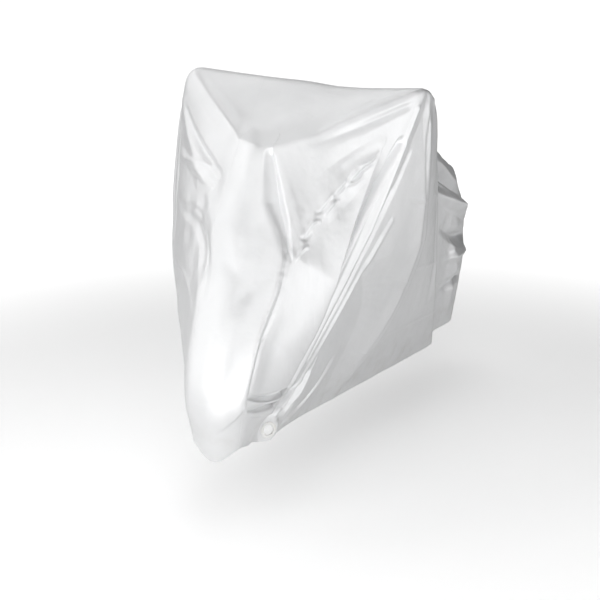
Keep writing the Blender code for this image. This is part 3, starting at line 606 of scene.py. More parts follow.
WAVE_BEND_LENGTH = 1.9


def slack_height(plain):
    """How high the crumples are at each point."""
    height = np.full(len(plain), TIGHT)
    for slack in SLACKS:
        gap = np.linalg.norm(plain - cloth_point(slack.side, *slack.place), axis=1)
        height += slack.height * np.exp(-(gap / slack.reach) ** 2)
    return height


def zigzags(plain, size, random):
    """Zigzag waves of about one size that cross each other, from -1 to 1."""
    heights = np.zeros(len(plain))
    for _ in range(CRUMPLE_WAVES):
        direction, bending = unit(random.normal(size=(2, 3)))
        length = size * random.uniform(*WAVE_LENGTHS)
        swing = plain @ bending / (WAVE_BEND_LENGTH * size) + random.uniform(0, 2 * pi)
        bend = WAVE_BEND * np.sin(swing)
        turns = plain @ direction / length + bend + random.uniform(0, 1)
        heights += 4 * np.abs(turns % 1 - 0.5) - 1
    return heights / CRUMPLE_WAVES


def crumpled(plain_grid):
    """Height of the crumples at each point of a grid of plain cloth."""
    plain = plain_grid.reshape(-1, 3)
    random = np.random.default_rng(CRUMPLE_SEED)
    total = sum(share * zigzags(plain, size, random) for size, share in CRUMPLE_SIZES)
    return (CRUMPLE_GAIN * slack_height(plain) * total).reshape(plain_grid.shape[:2])


print("spots of slack:", len(SLACKS))
print("most slack:", max(slack.height for slack in SLACKS) * 1000, "mm")

# %% [markdown]
# ## Puckered seams
#
# A sewing machine's thread is a little shorter than the cloth it holds, so the cloth beside a
# seam stands in small ripples across it. They run through both pieces, so both use one length
# measured along the seam. Beside the nose the seam is eased round a bend, and ripples more.

# %% Ripples along the seams
PUCKER_LENGTH = 0.0165         # from ripple to ripple
PUCKER_REACH = 0.014           # how far from the seam they die away
PUCKER_EVEN = 0.00012          # their height along every seam
PUCKER_TIGHT = 0.0010          # and what is added where the seam is eased round the nose
PUCKER_TIGHT_LEVELS = (4.05, 4.80)
PUCKER_FADE = 6                # how quickly that starts and ends, in shares for each level
PUCKER_RIGHT = 0.35            # share of it on the rider's right
PUCKER_WIDER = 0.3             # share by which eased ripples reach further


def lengths_along(line):
    """Length from the start of a line to each of its points."""
    return np.concatenate([[0], np.cumsum(np.linalg.norm(np.diff(line, axis=0), axis=1))])


def ripple(gap, along, height, reach):
    """Height of the ripples at a gap from the seam and a length along it."""
    # Odd shares make the ripples' length drift and their height swell, so that no two are alike.
    turns = 2 * pi * along / PUCKER_LENGTH
    wave = np.sin(turns + 1.9 * np.sin(turns / 5.3))
    swell = 0.6 + 0.4 * np.sin(turns / 3.7 + 1.1)
    return height * swell * wave * np.exp(-(gap / reach) ** 2)


def pucker_heights(side, levels):
    """How high the ripples are down the nose's seam, and how far they reach."""
    low, high = PUCKER_TIGHT_LEVELS
    started, unfinished = PUCKER_FADE * (levels - low), PUCKER_FADE * (high - levels)
    tight = np.clip(started, 0, 1) * np.clip(unfinished, 0, 1)
    if side < 0:
        tight = tight * PUCKER_RIGHT
    return PUCKER_EVEN + PUCKER_TIGHT * tight, PUCKER_REACH * (1 + PUCKER_WIDER * tight)


def steps(stops):
    """Places along a line, from stops of (place, cells to the next stop)."""
    places = []
    for (here, cells), (following, _) in zip(stops, stops[1:]):
        places += [here + (following - here) * n / cells for n in range(cells)]
    return np.array(places + [stops[-1][0]])


EYELET_STRIP_END = 4           # the rib where the eyelet strip ends
EYELET_STRIP_TOP = 5.7         # and the level where it starts
# One narrow cell beside every seam and hem keeps the rounding of the edge to the edge.
RIB_PLACES = steps(((0, 1), (0.025, 35), (1, 36), (2, 48), (3, 48), (EYELET_STRIP_END, 36), (5, 20),
                    (6, 20), (7, 28), (8, 44), (9, 31), (9.97, 1), (10, 0)))
LEVEL_PLACES = steps(((SEAM, 1), (SEAM + 0.02, 35), (SHOULDER, 60), (UPPER, 62), (LOWER, 44),
                      (EYELET_STRIP_TOP, 13), (HEM - 0.02, 1), (HEM, 0)))
ACROSS_PLACES = steps(((-1, 1), (-0.975, 14), (0, 14), (0.975, 1), (1, 0)))
print("cells of a side panel:", len(RIB_PLACES) - 1, "by", len(LEVEL_PLACES) - 1)

# %% [markdown]
# ## The two sides as grids of points
#
# Each side is worked out once as a grid, from the nose seam to the tail seam and from the top
# seam down to the hem. The side panel and the eyelet strip under it are cut from this grid, so
# their edges meet exactly.

# %% Grids of the two sides
def grid_normals(points, side):
    """Outward direction at each point of a grid."""
    across, down = np.gradient(points, axis=(0, 1))
    return side * unit(np.cross(down, across))


def gaps_from_edge(points):
    """Length along each grid line from the grid's first column."""
    lengths = np.linalg.norm(np.diff(points, axis=0), axis=-1)
    return np.concatenate([np.zeros((1, points.shape[1])), np.cumsum(lengths, axis=0)])


def seam_path(grid):
    """A side's seam, from the nose hem over the top to the tail hem."""
    return np.concatenate([grid[0, ::-1], grid[1:-1, 0], grid[-1]])


def hung(plain, ripples, side):
    """A plain grid with its folds, crumples and ripples, pressed flat round the eyelets."""
    points = folded(plain)
    rise = sum(ripples, crumpled(plain))
    moved = (points + rise[..., None] * grid_normals(points, side)).reshape(-1, 3)
    press_flat(moved, plain.reshape(-1, 3))
    return moved.reshape(plain.shape)


def side_points(side):
    """Points of one side with all its folds."""
    plain = cloth_grid(side, RIB_PLACES, LEVEL_PLACES)
    along = lengths_along(seam_path(plain))
    rows, columns = len(LEVEL_PLACES), len(RIB_PLACES)
    nose_along, tail_along = along[rows - 1::-1], along[-rows:]
    top_along = along[rows - 1:rows + columns - 1, None]
    from_top = gaps_from_edge(plain.swapaxes(0, 1)).T
    from_tail = gaps_from_edge(plain[::-1])[::-1]
    ripples = [
        ripple(gaps_from_edge(plain), nose_along, *pucker_heights(side, LEVEL_PLACES)),
        ripple(from_tail, tail_along, PUCKER_EVEN, PUCKER_REACH),
        ripple(from_top, top_along, PUCKER_EVEN, PUCKER_REACH),
    ]
    return hung(plain, ripples, side)


SIDE_GRIDS = {side: side_points(side) for side in HANDS.values()}
for side, grid in SIDE_GRIDS.items():
    print("side", side, "grid", grid.shape, "lowest point", round(float(grid[..., 2].min()), 3))

# %% [markdown]
# ## The middle strip as a grid
#
# The strip hangs down the nose, lies over the handlebar and the saddle, and hangs down the tail.
# Its rows run across from seam to seam. At the end each row is stretched a little, so that its
# ends are the very edges of the two sides.

# %% Grid of the middle strip
def end_rows(rib):
    """Rows across the strip where it hangs, at the nose (rib 0) or at the tail (the last rib)."""
    last = len(LEFT_RIBS) - 1
    middle = 0 if rib == 0 else last + 2
    inward = 1 if rib == 0 else -1
    edge = middle + inward
    lines, softness = [], []
    for side, order in ((-1, (edge + inward, edge, middle)), (1, (edge, edge + inward))):
        ribs, soft, level_soft = SIDES[side]
        for i in order:
            lines.append(np.array([rounded(ribs[i], level_soft[i], level) for level in LEVEL_PLACES]))
            softness.append(soft[i])
    return np.array([rounded(lines, softness, 2 + across) for across in ACROSS_PLACES]).swapaxes(0, 1)


def top_rows():
    """Rows across the strip where it lies over the top."""
    halves = []
    for side in (-1, 1):
        across = np.abs(ACROSS_PLACES[ACROSS_PLACES * side >= 0])
        halves.append(cloth_grid(side, RIB_PLACES[1:-1], CREST + across))
    return np.concatenate([halves[0][:, :-1], halves[1]], axis=1)


def strip_points():
    """Points of the strip, as rows from the nose hem over the top to the tail hem."""
    plain = np.concatenate([end_rows(0)[::-1], top_rows(), end_rows(len(LEFT_RIBS) - 1)])
    elsewhere = np.full(len(plain) - len(LEVEL_PLACES), SEAM)
    levels = np.concatenate([LEVEL_PLACES[::-1], elsewhere])[:, None]
    across = gaps_from_edge(plain.swapaxes(0, 1)).T
    ripples = []
    for side, end, gap in ((-1, 0, across), (1, -1, across[:, -1:] - across)):
        along = lengths_along(plain[:, end])[:, None]
        ripples.append(ripple(gap, along, *pucker_heights(side, levels)))
    moved = hung(plain, ripples, 1)
    for side, end in ((-1, 0), (1, -1)):
        shift = seam_path(SIDE_GRIDS[side]) - moved[:, end]
        shares = np.clip(side * ACROSS_PLACES, 0, 1) ** 2
        moved += shares[None, :, None] * shift[:, None, :]
    return moved


STRIP_GRID = strip_points()
print("strip grid:", STRIP_GRID.shape)

# %% [markdown]
# ## Sheets with turned edges
#
# No edge of sewn cloth is a bare cut. At a seam the cloth turns in and lies back inside as a seam
# allowance, which leaves a fine groove between the pieces. At the hem it turns in, up and is
# stitched. A grid operator makes the sheet, its points are moved onto the worked-out shape, and
# its outer edges are extruded round their turn.

# %% Helpers that make a sheet
# Each turn is a row of places in millimetres: back from the cut edge, under the sheet's face. The
# seams along the top are pulled tight, so their groove is finer than at the seams that hang.
TURNS = {
    "seam": ((0.2, 0.1), (0.1, 0.6), (0.8, 1.1), (5.0, 2.0)),
    "tight seam": ((0.0, 0.0), (0.1, 0.5), (0.8, 1.1), (5.0, 2.0)),
    "hem": ((0.6, 0.0), (0.0, 0.6), (0.8, 1.3), (4.0, 2.0), (10.0, 2.2)),
}
EdgePlace = namedtuple("EdgePlace", "corner inward normal turn")


def grid_form(points, flipped):
    """A bmesh grid moved onto a grid of points, with each vertex's place in the grid."""
    across, down = points.shape[0] - 1, points.shape[1] - 1
    form = bmesh.new()
    bmesh.ops.create_grid(form, x_segments=across, y_segments=down, size=1.0)
    places = {}
    for vertex in form.verts:
        places[vertex] = (round((vertex.co.x + 1) / 2 * across), round((vertex.co.y + 1) / 2 * down))
    for vertex, (column, row) in places.items():
        vertex.co = points[column, row]
    if flipped:
        bmesh.ops.reverse_faces(form, faces=form.faces)
    form.normal_update()
    return form, places


def lay_out(form, places, points):
    """Gives the sheet a UV map in metres, as if it lay flat on a cutting table."""
    down = gaps_from_edge(points.swapaxes(0, 1)).T
    across = gaps_from_edge(points)
    layer = form.loops.layers.uv.new("cut")
    for face in form.faces:
        for loop in face.loops:
            column, row = places[loop.vert]
            loop[layer].uv = (across[column, row], down[column, row])


def inward_from(vertex):
    """Direction from a vertex of an edge into the sheet, square to the edge."""
    ends = [edge.other_vert(vertex).co - vertex.co for edge in vertex.link_edges if edge.is_boundary]
    tangent = (ends[0].normalized() - ends[1].normalized()).normalized()
    middles = [face.calc_center_median() for face in vertex.link_faces]
    inward = sum(middles, Vector()) / len(middles) - vertex.co
    return (inward - inward.dot(tangent) * tangent).normalized()


def follow_turn(owners, step):
    """Moves each vertex to one step of its edge's turn, or to the last one."""
    for vertex, edge in owners.items():
        back, under = metres(edge.turn[min(step, len(edge.turn) - 1)])
        vertex.co = edge.corner + back * edge.inward - under * edge.normal


def turn_edges(form, edge_of):
    """Extrudes each outer edge round its turn. edge_of gives a vertex's kind of edge, or None."""
    layer = form.loops.layers.uv.active
    kinds = {vertex: edge_of(vertex) for vertex in form.verts if vertex.is_boundary}
    front = [edge for edge in form.edges
             if edge.is_boundary and all(kinds[vertex] for vertex in edge.verts)]
    owners = {}
    for vertex in {vertex for edge in front for vertex in edge.verts}:
        turn = TURNS[kinds[vertex]]
        owners[vertex] = EdgePlace(vertex.co.copy(), inward_from(vertex), vertex.normal.copy(), turn)
    follow_turn(owners, 0)
    for edge in front:
        edge.smooth = False
    for step in range(1, max(len(turn) for turn in TURNS.values())):
        made = bmesh.ops.extrude_edge_only(form, edges=front)["geom"]
        grown = {}
        for vertex in (thing for thing in made if isinstance(thing, bmesh.types.BMVert)):
            beside = (edge.other_vert(vertex) for edge in vertex.link_edges)
            grown[vertex] = next(owners[other] for other in beside if other in owners)
        owners = grown
        follow_turn(owners, step)
        front = [thing for thing in made if isinstance(thing, bmesh.types.BMEdge)
                 and all(vertex in owners for vertex in thing.verts)]
        for face in {face for edge in front for face in edge.link_faces}:
            carry_layout(face, layer)


def carry_layout(face, layer):
    """Gives a turned edge's face the layout of the sheet that it grew from."""
    known = [other[layer].uv.copy() for loop in face.loops for other in loop.vert.link_loops
             if other.face is not face and other[layer].uv.length > 0]
    for loop in face.loops:
        beside = [other[layer].uv.copy() for other in loop.vert.link_loops if other.face is not face]
        loop[layer].uv = (beside + known + [(0.0, 0.0)])[0]


def mesh_piece(name, mesh, material):
    """A finished mesh as an object of the scene."""
    mesh.shade_smooth()
    mesh.materials.append(material)
    piece = bpy.data.objects.new(name, mesh)
    bpy.context.scene.collection.objects.link(piece)
    return piece


def form_piece(name, form, material):
    """A finished bmesh as an object of the scene."""
    mesh = bpy.data.meshes.new(name)
    form.to_mesh(mesh)
    form.free()
    return mesh_piece(name, mesh, material)


print("kinds of edge:", ", ".join(TURNS))

# %% [markdown]
# ## Writing a finish
#
# A material is arithmetic on places: how far along the cloth, how near a crease, how high above
# the hem. Wired by hand in the node editor it soon turns into a web, so a small class lets an
# output of a node be used in a Python expression, and each sum or product adds its Math node.

# %% A small language for materials
class Value:
    """One output of a node, which can be used in sums and products."""

    def __init__(self, finish, socket):
        self.finish, self.socket = finish, socket

    def math(self, operation, *others):
        """The result of a Math node on this value and others."""
        sockets = dict(enumerate((self, *others)))
        return self.finish.add("ShaderNodeMath", {"operation": operation}, sockets)

    def __add__(self, other):
        return self.math("ADD", other)

    def __sub__(self, other):
        return self.math("SUBTRACT", other)

    def __rsub__(self, other):
        return self.finish.add("ShaderNodeMath", {"operation": "SUBTRACT"}, {0: other, 1: self})

    def __mul__(self, other):
        return self.math("MULTIPLY", other)

    __radd__, __rmul__ = __add__, __mul__

    def between(self, low, high):
        """0 where the value is `low` or less, 1 where it is `high` or more, smooth between."""
        settings = {"interpolation_type": "SMOOTHSTEP"}
        sockets = {"Value": self, "From Min": low, "From Max": high}
        return self.finish.add("ShaderNodeMapRange", settings, sockets)


class Finish:
    """A material under construction."""

    def __init__(self, name):
        self.material = bpy.data.materials.new(name)
        self.material.use_nodes = True
        self.tree = self.material.node_tree
        self.tree.nodes.clear()

    def add(self, kind, settings=None, sockets=None, output=0):
        """Adds a node: its settings first, then the values or links of its sockets."""
        node = self.tree.nodes.new(kind)
        for key, value in (settings or {}).items():
            setattr(node, key, value)
        for key, value in (sockets or {}).items():
            socket = self.pick(node.inputs, key)
            if isinstance(value, Value):
                self.tree.links.new(value.socket, socket)
            else:
                socket.default_value = value
        return Value(self, self.pick(node.outputs, output))

    def pick(self, sockets, key):
        """The socket in use that has a number or a name."""
        usable = [socket for socket in sockets if socket.enabled]
        names = [socket.name for socket in usable]
        return usable[names.index(key) if isinstance(key, str) else key]

    def place(self):
        """Where a point of the piece is, in metres."""
        return self.add("ShaderNodeTexCoord", output="Object")

    def layout(self):
        """Where a point lies on the flat cut, as separate lengths across and down, in metres."""
        uv = self.add("ShaderNodeUVMap", {"uv_map": "cut"})
        split = self.add("ShaderNodeSeparateXYZ", sockets={0: uv})
        return split, Value(self, split.socket.node.outputs["Y"])

    def height_of(self, place):
        """The height part of a place."""
        return self.add("ShaderNodeSeparateXYZ", sockets={0: place}, output="Z")

    def noise(self, place, size, detail=2.0):
        """Smooth random values from 0 to 1, in spots of about `size` metres."""
        sockets = {"Vector": place, "Scale": 1 / size, "Detail": detail}
        return self.add("ShaderNodeTexNoise", sockets=sockets)

    def blend(self, share, low, high):
        """A colour that goes from `low` to `high`."""
        settings = {"data_type": "RGBA", "blend_type": "MIX"}
        return self.add("ShaderNodeMix", settings, {"Factor": share, "A": low, "B": high})

    def distance(self, place, centre):
        """Distance of a place from a fixed point."""
        sockets = {0: place, 1: centre}
        return self.add("ShaderNodeVectorMath", {"operation": "DISTANCE"}, sockets, "Value")

    def relief(self, height):
        """The shading of a fine relief, whose height is in metres."""
        sockets = {"Strength": 1.0, "Distance": 1.0, "Height": height}
        return self.add("ShaderNodeBump", sockets=sockets)

    def surface(self, **sockets):
        """Ends the material in a Principled surface."""
        named = {key.replace("_", " "): value for key, value in sockets.items()}
        shader = self.add("ShaderNodeBsdfPrincipled", sockets=named)
        end = self.tree.nodes.new("ShaderNodeOutputMaterial")
        self.tree.links.new(shader.socket, end.inputs["Surface"])
        return self.material


print("finishes are written with", Finish.__name__, "and", Value.__name__)

# %% [markdown]
# ## The silver coated cloth
#
# The cloth is light polyester with a silver-white coating. It is neither metal nor paper: light
# spreads wide on it but keeps a soft gloss, and every bend shows as a change from white to grey.
# A part-metal surface with a middle roughness does that. The coating isn't even, so tone and
# gloss drift a little, the cloth is greyer where the handlebar ends rub it from inside, and dust
# from the road dulls it near the hem. The weave is too fine for geometry and is a relief.

# %% Finish of the cloth
SILVER = (0.880, 0.884, 0.890, 1.0)
SILVER_DULL = (0.810, 0.815, 0.822, 1.0)
ROAD_DUST = (0.560, 0.540, 0.505, 1.0)
RUBBED = (0.610, 0.615, 0.625, 1.0)
THREAD_PITCH = 0.0009
THREAD_DEPTH = 0.000035
DRIFT_SIZE = 0.21              # spots of slightly other tone and gloss
DULL_SHARE = 0.55              # how far the duller spots go to the dull silver
CRINKLE_DEPTH = 0.0011
CRINKLE_SIZE = 0.060
FACET_DEPTH = 0.0012           # relief of the flat facets into which the coating cracks
FACET_SIZE = 0.045
METAL_SHARE = 0.50
HEM_UP = -0.885                # height of the hem in the object's frame
DUST_REACH = 0.20
SPATTER_SIZE = 0.045
DUST_SHARE = 0.22
RUB_PLACE = (3.4, SHOULDER)    # rib and level of the handlebar's ends
RUB_NEAR, RUB_FAR = 0.015, 0.065
RUB_SIZE = 0.012
RUB_SHARE = 0.6
ROUGHNESS = 0.36               # where nothing drifts, rubs or dulls it


def cloth_finish():
    """The silver coating on a fine plain weave."""
    finish = Finish("silver coated cloth")
    place = finish.place()
    across, down = finish.layout()
    drift = finish.noise(place, DRIFT_SIZE, 3.0)
    cloudy = finish.blend(drift.between(0.40, 0.68) * DULL_SHARE, SILVER, SILVER_DULL)

    ends = (cloth_point(side, *RUB_PLACE) for side in HANDS.values())
    left, right = (finish.distance(place, end) for end in ends)
    nearest = left.math("MINIMUM", right)
    rubbed = (1 - nearest.between(RUB_NEAR, RUB_FAR)) * finish.noise(place, RUB_SIZE, 4.0)
    worn = finish.blend(rubbed * RUB_SHARE, cloudy, RUBBED)

    up = finish.height_of(place)
    spatter = finish.noise(place, SPATTER_SIZE, 6.0)
    dusty = (1 - up.between(HEM_UP, HEM_UP + DUST_REACH)) * spatter.between(0.42, 0.78)
    colour = finish.blend(dusty * DUST_SHARE, worn, ROAD_DUST)

    warp = (across * (pi / THREAD_PITCH)).math("SINE").math("ABSOLUTE")
    weft = (down * (pi / THREAD_PITCH)).math("SINE").math("ABSOLUTE")
    weave = warp.math("MAXIMUM", weft) * THREAD_DEPTH
    crinkle = finish.noise(place, CRINKLE_SIZE, 5.0) * CRINKLE_DEPTH
    cracked = (finish.noise(place, FACET_SIZE, 2.0) - 0.5).math("ABSOLUTE") * FACET_DEPTH
    normal = finish.relief(weave + crinkle + cracked)

    roughness = ROUGHNESS + 0.08 * drift + 0.16 * rubbed + 0.20 * dusty
    return finish.surface(Base_Color=colour, Metallic=METAL_SHARE,
                          Roughness=roughness, Normal=normal)


CLOTH = cloth_finish()
print("cloth finish nodes:", len(CLOTH.node_tree.nodes))

# %% [markdown]
# ## The side panels and the eyelet strips
#
# Each side is cut in two: the panel, and at its front corner a short strip of doubled cloth that
# carries the eyelet. The strip's hole is open under the ring, so nothing closes the eyelet.

# %% Sheets of the two sides
STRIP_COLUMN = int(np.flatnonzero(RIB_PLACES == EYELET_STRIP_END)[0])
STRIP_ROW = int(np.flatnonzero(LEVEL_PLACES == EYELET_STRIP_TOP)[0])
HOLE_CUT = 0.0205              # faces within this radius are cut out under the ring
LAST_COLUMN, LAST_ROW = len(RIB_PLACES) - 1, len(LEVEL_PLACES) - 1


def in_strip(face, places):
    """True for a face of the eyelet strip."""
    column = sum(places[vertex][0] for vertex in face.verts) / len(face.verts)
    row = sum(places[vertex][1] for vertex in face.verts) / len(face.verts)
    return column < STRIP_COLUMN and row > STRIP_ROW


def side_sheet(name, side, strip):
    """The panel of one side, or the eyelet strip that is cut from the same grid."""
    grid = SIDE_GRIDS[side]
    form, places = grid_form(grid, side > 0)
    lay_out(form, places, grid)
    outside = [face for face in form.faces if in_strip(face, places) != strip]
    bmesh.ops.delete(form, geom=outside, context="FACES")
    if strip:
        centre = Vector(EYELETS[side][0])
        under_ring = [face for face in form.faces
                      if all((vertex.co - centre).length < HOLE_CUT for vertex in face.verts)]
        bmesh.ops.delete(form, geom=under_ring, context="FACES")

    def kind(vertex):
        """What kind of edge a vertex lies on."""
        column, row = places[vertex]
        if row == LAST_ROW:
            return "hem"
        if row == 0:
            return "tight seam"
        return "seam" if column in (0, LAST_COLUMN) else None

    form.normal_update()
    turn_edges(form, kind)
    return form_piece(name, form, CLOTH)


panels = {}
for hand, side in HANDS.items():
    panels[hand] = side_sheet("panel_" + hand, side, False)
    panels[hand + " strip"] = side_sheet("hem_strip_" + hand, side, True)
for name, piece in panels.items():
    print(name, "faces:", len(piece.data.polygons))

# %% [markdown]
# ## The middle strip
#
# One long piece of the same cloth, with a seam down both sides and a hem at both ends.

# %% Sheet of the middle strip
def strip_sheet():
    """The middle strip with its turned edges."""
    form, places = grid_form(STRIP_GRID, True)
    lay_out(form, places, STRIP_GRID)
    rows, columns = STRIP_GRID.shape[:2]

    def kind(vertex):
        """What kind of edge a vertex lies on."""
        row, column = places[vertex]
        if row in (0, rows - 1):
            return "hem"
        if column not in (0, columns - 1):
            return None
        hanging = row < len(LEVEL_PLACES) or row >= rows - len(LEVEL_PLACES)
        return "seam" if hanging else "tight seam"

    turn_edges(form, kind)
    return form_piece("strip", form, CLOTH)


strip = strip_sheet()
print("strip faces:", len(strip.data.polygons))

# %% [markdown]
# ## The eyelet rings
#
# A white plastic ring is pressed through each eyelet strip: a barrel with a flange on either
# side. It is turned work, so its half-section is spun round its axis in one full turn. A lathe
# modifier would give the same shape, but a spin leaves a finished mesh whose edge loops can be
# bevelled and counted.

# %% Eyelet rings
RING_BORE = 0.0140             # radius of the clear hole
RING_BARREL = 0.0154
RING_RIM = 0.0225
RING_UNDER = 0.00112           # height of a flange's inner face above the middle of the cloth
RING_TOP = 0.00272
RING_ROUND = 0.00045
RING_TURN = 96                 # sides of the spun ring
PLASTIC_WHITE = (0.845, 0.845, 0.835, 1.0)
PLASTIC_AGED = (0.770, 0.760, 0.725, 1.0)
PLASTIC_SCUFFED = (0.45, 0.44, 0.42, 1.0)
SCRATCH_SIZE = 0.0016
SCRATCH_DEPTH = 0.00006


def ring_section():
    """Half-section of a ring as (radius, height) points, from one flange round to the other."""
    curve, eased = RING_ROUND, RING_TOP - 0.4 * RING_ROUND
    upper = [
        (RING_BARREL, RING_UNDER),
        (RING_RIM - curve, RING_UNDER),
        (RING_RIM, RING_UNDER + curve),
        (RING_RIM, RING_TOP - 2 * curve),
        (RING_RIM - curve, eased),
        (RING_RIM - 3 * curve, RING_TOP),
        (RING_BORE + 3 * curve, RING_TOP),
        (RING_BORE + curve, eased),
        (RING_BORE, RING_TOP - 2 * curve),
    ]
    return upper + [(radius, -height) for radius, height in reversed(upper)]


def plastic_finish():
    """White eyelet plastic, a little yellowed in places, with fine scratches from the lock."""
    finish = Finish("white eyelet plastic")
    place = finish.place()
    aged = finish.noise(place, 0.011, 3.0)
    colour = finish.blend(aged.between(0.35, 0.75), PLASTIC_WHITE, PLASTIC_AGED)
    scratch = finish.noise(place, SCRATCH_SIZE, 6.0)
    scuffed = finish.blend(scratch.between(0.55, 0.75) * 0.30, colour, PLASTIC_SCUFFED)
    roughness = 0.34 + 0.22 * scratch
    normal = finish.relief(scratch * SCRATCH_DEPTH)
    return finish.surface(Base_Color=scuffed, Roughness=roughness, Normal=normal)


def eyelet_ring(name, side, material):
    """A spun ring in its place on the side's eyelet strip."""
    section = bmesh.new()
    corners = [section.verts.new((radius, 0, height)) for radius, height in ring_section()]
    outline = [section.edges.new(pair) for pair in zip(corners, corners[1:] + corners[:1])]
    bmesh.ops.spin(section, geom=corners + outline, cent=(0, 0, 0), axis=(0, 0, 1), angle=2 * pi,
                   steps=RING_TURN, use_merge=True, use_duplicate=False)
    bmesh.ops.remove_doubles(section, verts=section.verts, dist=1e-6)
    bmesh.ops.recalc_face_normals(section, faces=section.faces)
    centre, normal = EYELETS[side]
    turn = Vector(normal).to_track_quat("Z", "Y").to_matrix().to_4x4()
    matrix = Matrix.Translation(Vector(centre)) @ turn
    bmesh.ops.transform(section, matrix=matrix, verts=section.verts)
    return form_piece(name, section, material)


PLASTIC = plastic_finish()
rings = {}
for hand, side in HANDS.items():
    rings[hand] = eyelet_ring("ring_" + hand, side, PLASTIC)
print("ring faces:", len(rings["left"].data.polygons))

# %% [markdown]
# ## Stitching
#
# A lockstitch shows as a row of short grains of thread, each sunk a little at its ends. One line
# runs beside every seam on the side panels, one holds each hem's turn, and one frames each eyelet
# strip. A curve with an array would bend the grains, so each grain is a small sphere stretched
# along the line: twenty faces are plenty for a thread of half a millimetre.

# %% Lines of stitches
STITCH_PITCH = 0.0036          # from the middle of one grain to the next
STITCH_LENGTH = 0.0030
STITCH_WIDTH = 0.00055
STITCH_HEIGHT = 0.00035
SEAM_STITCH = 0.0040           # how far a seam's stitches lie from it
HEM_STITCH = 0.0085            # and a hem's, which hold its turn


def inset_line(lines, back):
    """For grid lines that start at an edge: the point that lies `back` inside each of them."""
    return np.array([along_line(back, lengths_along(line), line) for line in lines])


def stitch_lines():
    """Every line of stitches, as points on the cloth, with the outward directions beside them."""
    lines = []
    for side, grid in SIDE_GRIDS.items():
        normals = grid_normals(grid, side)
        nose = inset_line(grid.swapaxes(0, 1), SEAM_STITCH)[::-1]
        tail = inset_line(grid[::-1].swapaxes(0, 1), SEAM_STITCH)
        top = inset_line(grid, SEAM_STITCH)
        lines.append((nose[:-1], normals[0, ::-1][:-1]))
        lines.append((top[1:-1], normals[1:-1, 0]))
        lines.append((tail[:-1], normals[-1][:-1]))
        lines.append((inset_line(grid[:, ::-1], HEM_STITCH)[1:-1], normals[1:-1, -1]))
        row, column = STRIP_ROW, STRIP_COLUMN
        lines.append((inset_line(grid[:column, row:], SEAM_STITCH)[1:], normals[1:column, row]))
        corner = grid[:column + 1, row:][::-1].swapaxes(0, 1)
        lines.append((inset_line(corner, SEAM_STITCH)[1:-1], normals[column, row:][1:-1]))
    normals = grid_normals(STRIP_GRID, 1)
    for end, rows in ((0, STRIP_GRID), (-1, STRIP_GRID[::-1])):
        lines.append((inset_line(rows.swapaxes(0, 1), HEM_STITCH)[1:-1], normals[end, 1:-1]))
    return lines


def even_steps(points, normals):
    """Stitch places: a point, a direction along and a direction outward, at the stitch pitch."""
    along = lengths_along(points)
    middles = np.arange(STITCH_PITCH / 2, along[-1] - STITCH_PITCH / 2, STITCH_PITCH)
    starts = along_line(middles - STITCH_LENGTH / 2, along, points)
    ends = along_line(middles + STITCH_LENGTH / 2, along, points)
    centres = along_line(middles, along, points)
    return centres, unit(ends - starts), unit(along_line(middles, along, normals))


def stitch_grain():
    """Corners and faces of one grain of thread, one metre long, wide and high."""
    grain = bmesh.new()
    bmesh.ops.create_icosphere(grain, subdivisions=1, radius=0.5)
    corners = np.array([vertex.co for vertex in grain.verts])
    faces = np.array([[vertex.index for vertex in face.verts] for face in grain.faces])
    grain.free()
    return corners, faces


def thread_finish():
    """Grey-white sewing thread."""
    finish = Finish("grey white thread")
    place = finish.place()
    uneven = finish.noise(place, 0.004, 2.0)
    colour = finish.blend(uneven, (0.700, 0.705, 0.710, 1.0), (0.800, 0.800, 0.800, 1.0))
    twist = finish.noise(place, 0.0004, 2.0)
    return finish.surface(Base_Color=colour, Roughness=0.55 + 0.15 * uneven,
                          Normal=finish.relief(twist * 0.00005))


def thread_piece(name, material):
    """All stitches as one piece."""
    corners, faces = stitch_grain()
    size = np.array((STITCH_LENGTH, STITCH_WIDTH, STITCH_HEIGHT))
    all_corners = []
    for points, normals in stitch_lines():
        centres, ahead, out = even_steps(points, normals)
        aside = unit(np.cross(out, ahead))
        axes = np.stack([ahead, aside, np.cross(ahead, aside)], axis=1) * size[:, None]
        all_corners.append(centres[:, None] + corners @ axes)
    placed = np.concatenate(all_corners)
    count = len(placed)
    all_faces = (faces[None] + len(corners) * np.arange(count)[:, None, None]).reshape(-1, 3)
    mesh = bpy.data.meshes.new(name)
    mesh.from_pydata(placed.reshape(-1, 3).tolist(), [], all_faces.tolist())
    print("stitches:", count, "faces:", len(mesh.polygons))
    return mesh_piece(name, mesh, material)


stitching = thread_piece("stitching", thread_finish())

# %% [markdown]
# ## Handing the pieces to the frame
#
# Each sheet stands for its solid, which is hidden, and rides on the root body; the table also gives
# each one the slot cloth and the size of its flat cut.

# %% Riding and replacing
Cut = namedtuple("Cut", "piece node slot flat area extras")
CUTS = (
    Cut(panels["left"], "side_panel_left", "cloth", (1.75, 1.00), 1.222, [stitching]),
    Cut(panels["right"], "side_panel_right", "cloth", (1.80, 1.05), 1.345, []),
    Cut(panels["left strip"], "eyelet_strip_left", "cloth", (0.33, 0.07), None, [rings["left"]]),
    Cut(panels["right strip"], "eyelet_strip_right", "cloth", (0.36, 0.08), None, [rings["right"]]),
    Cut(strip, "middle_strip", "cloth", (0.19, 2.90), 0.423, []),
)
for cut in CUTS:
    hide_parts(cut.node)
    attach(cut.piece, "root")
for hand, ring in rings.items():
    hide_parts("eyelet_ring_" + hand)
    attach(ring, "root")
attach(stitching, "root")
for cut in CUTS:
    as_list(cut.extras)


def sheet_area(piece):
    """Area of all faces of a piece, in square metres."""
    return sum(face.area for face in piece.data.polygons)


for cut in CUTS:
    print(cut.piece.name, "faces cover", round(sheet_area(cut.piece), 4), "m2")
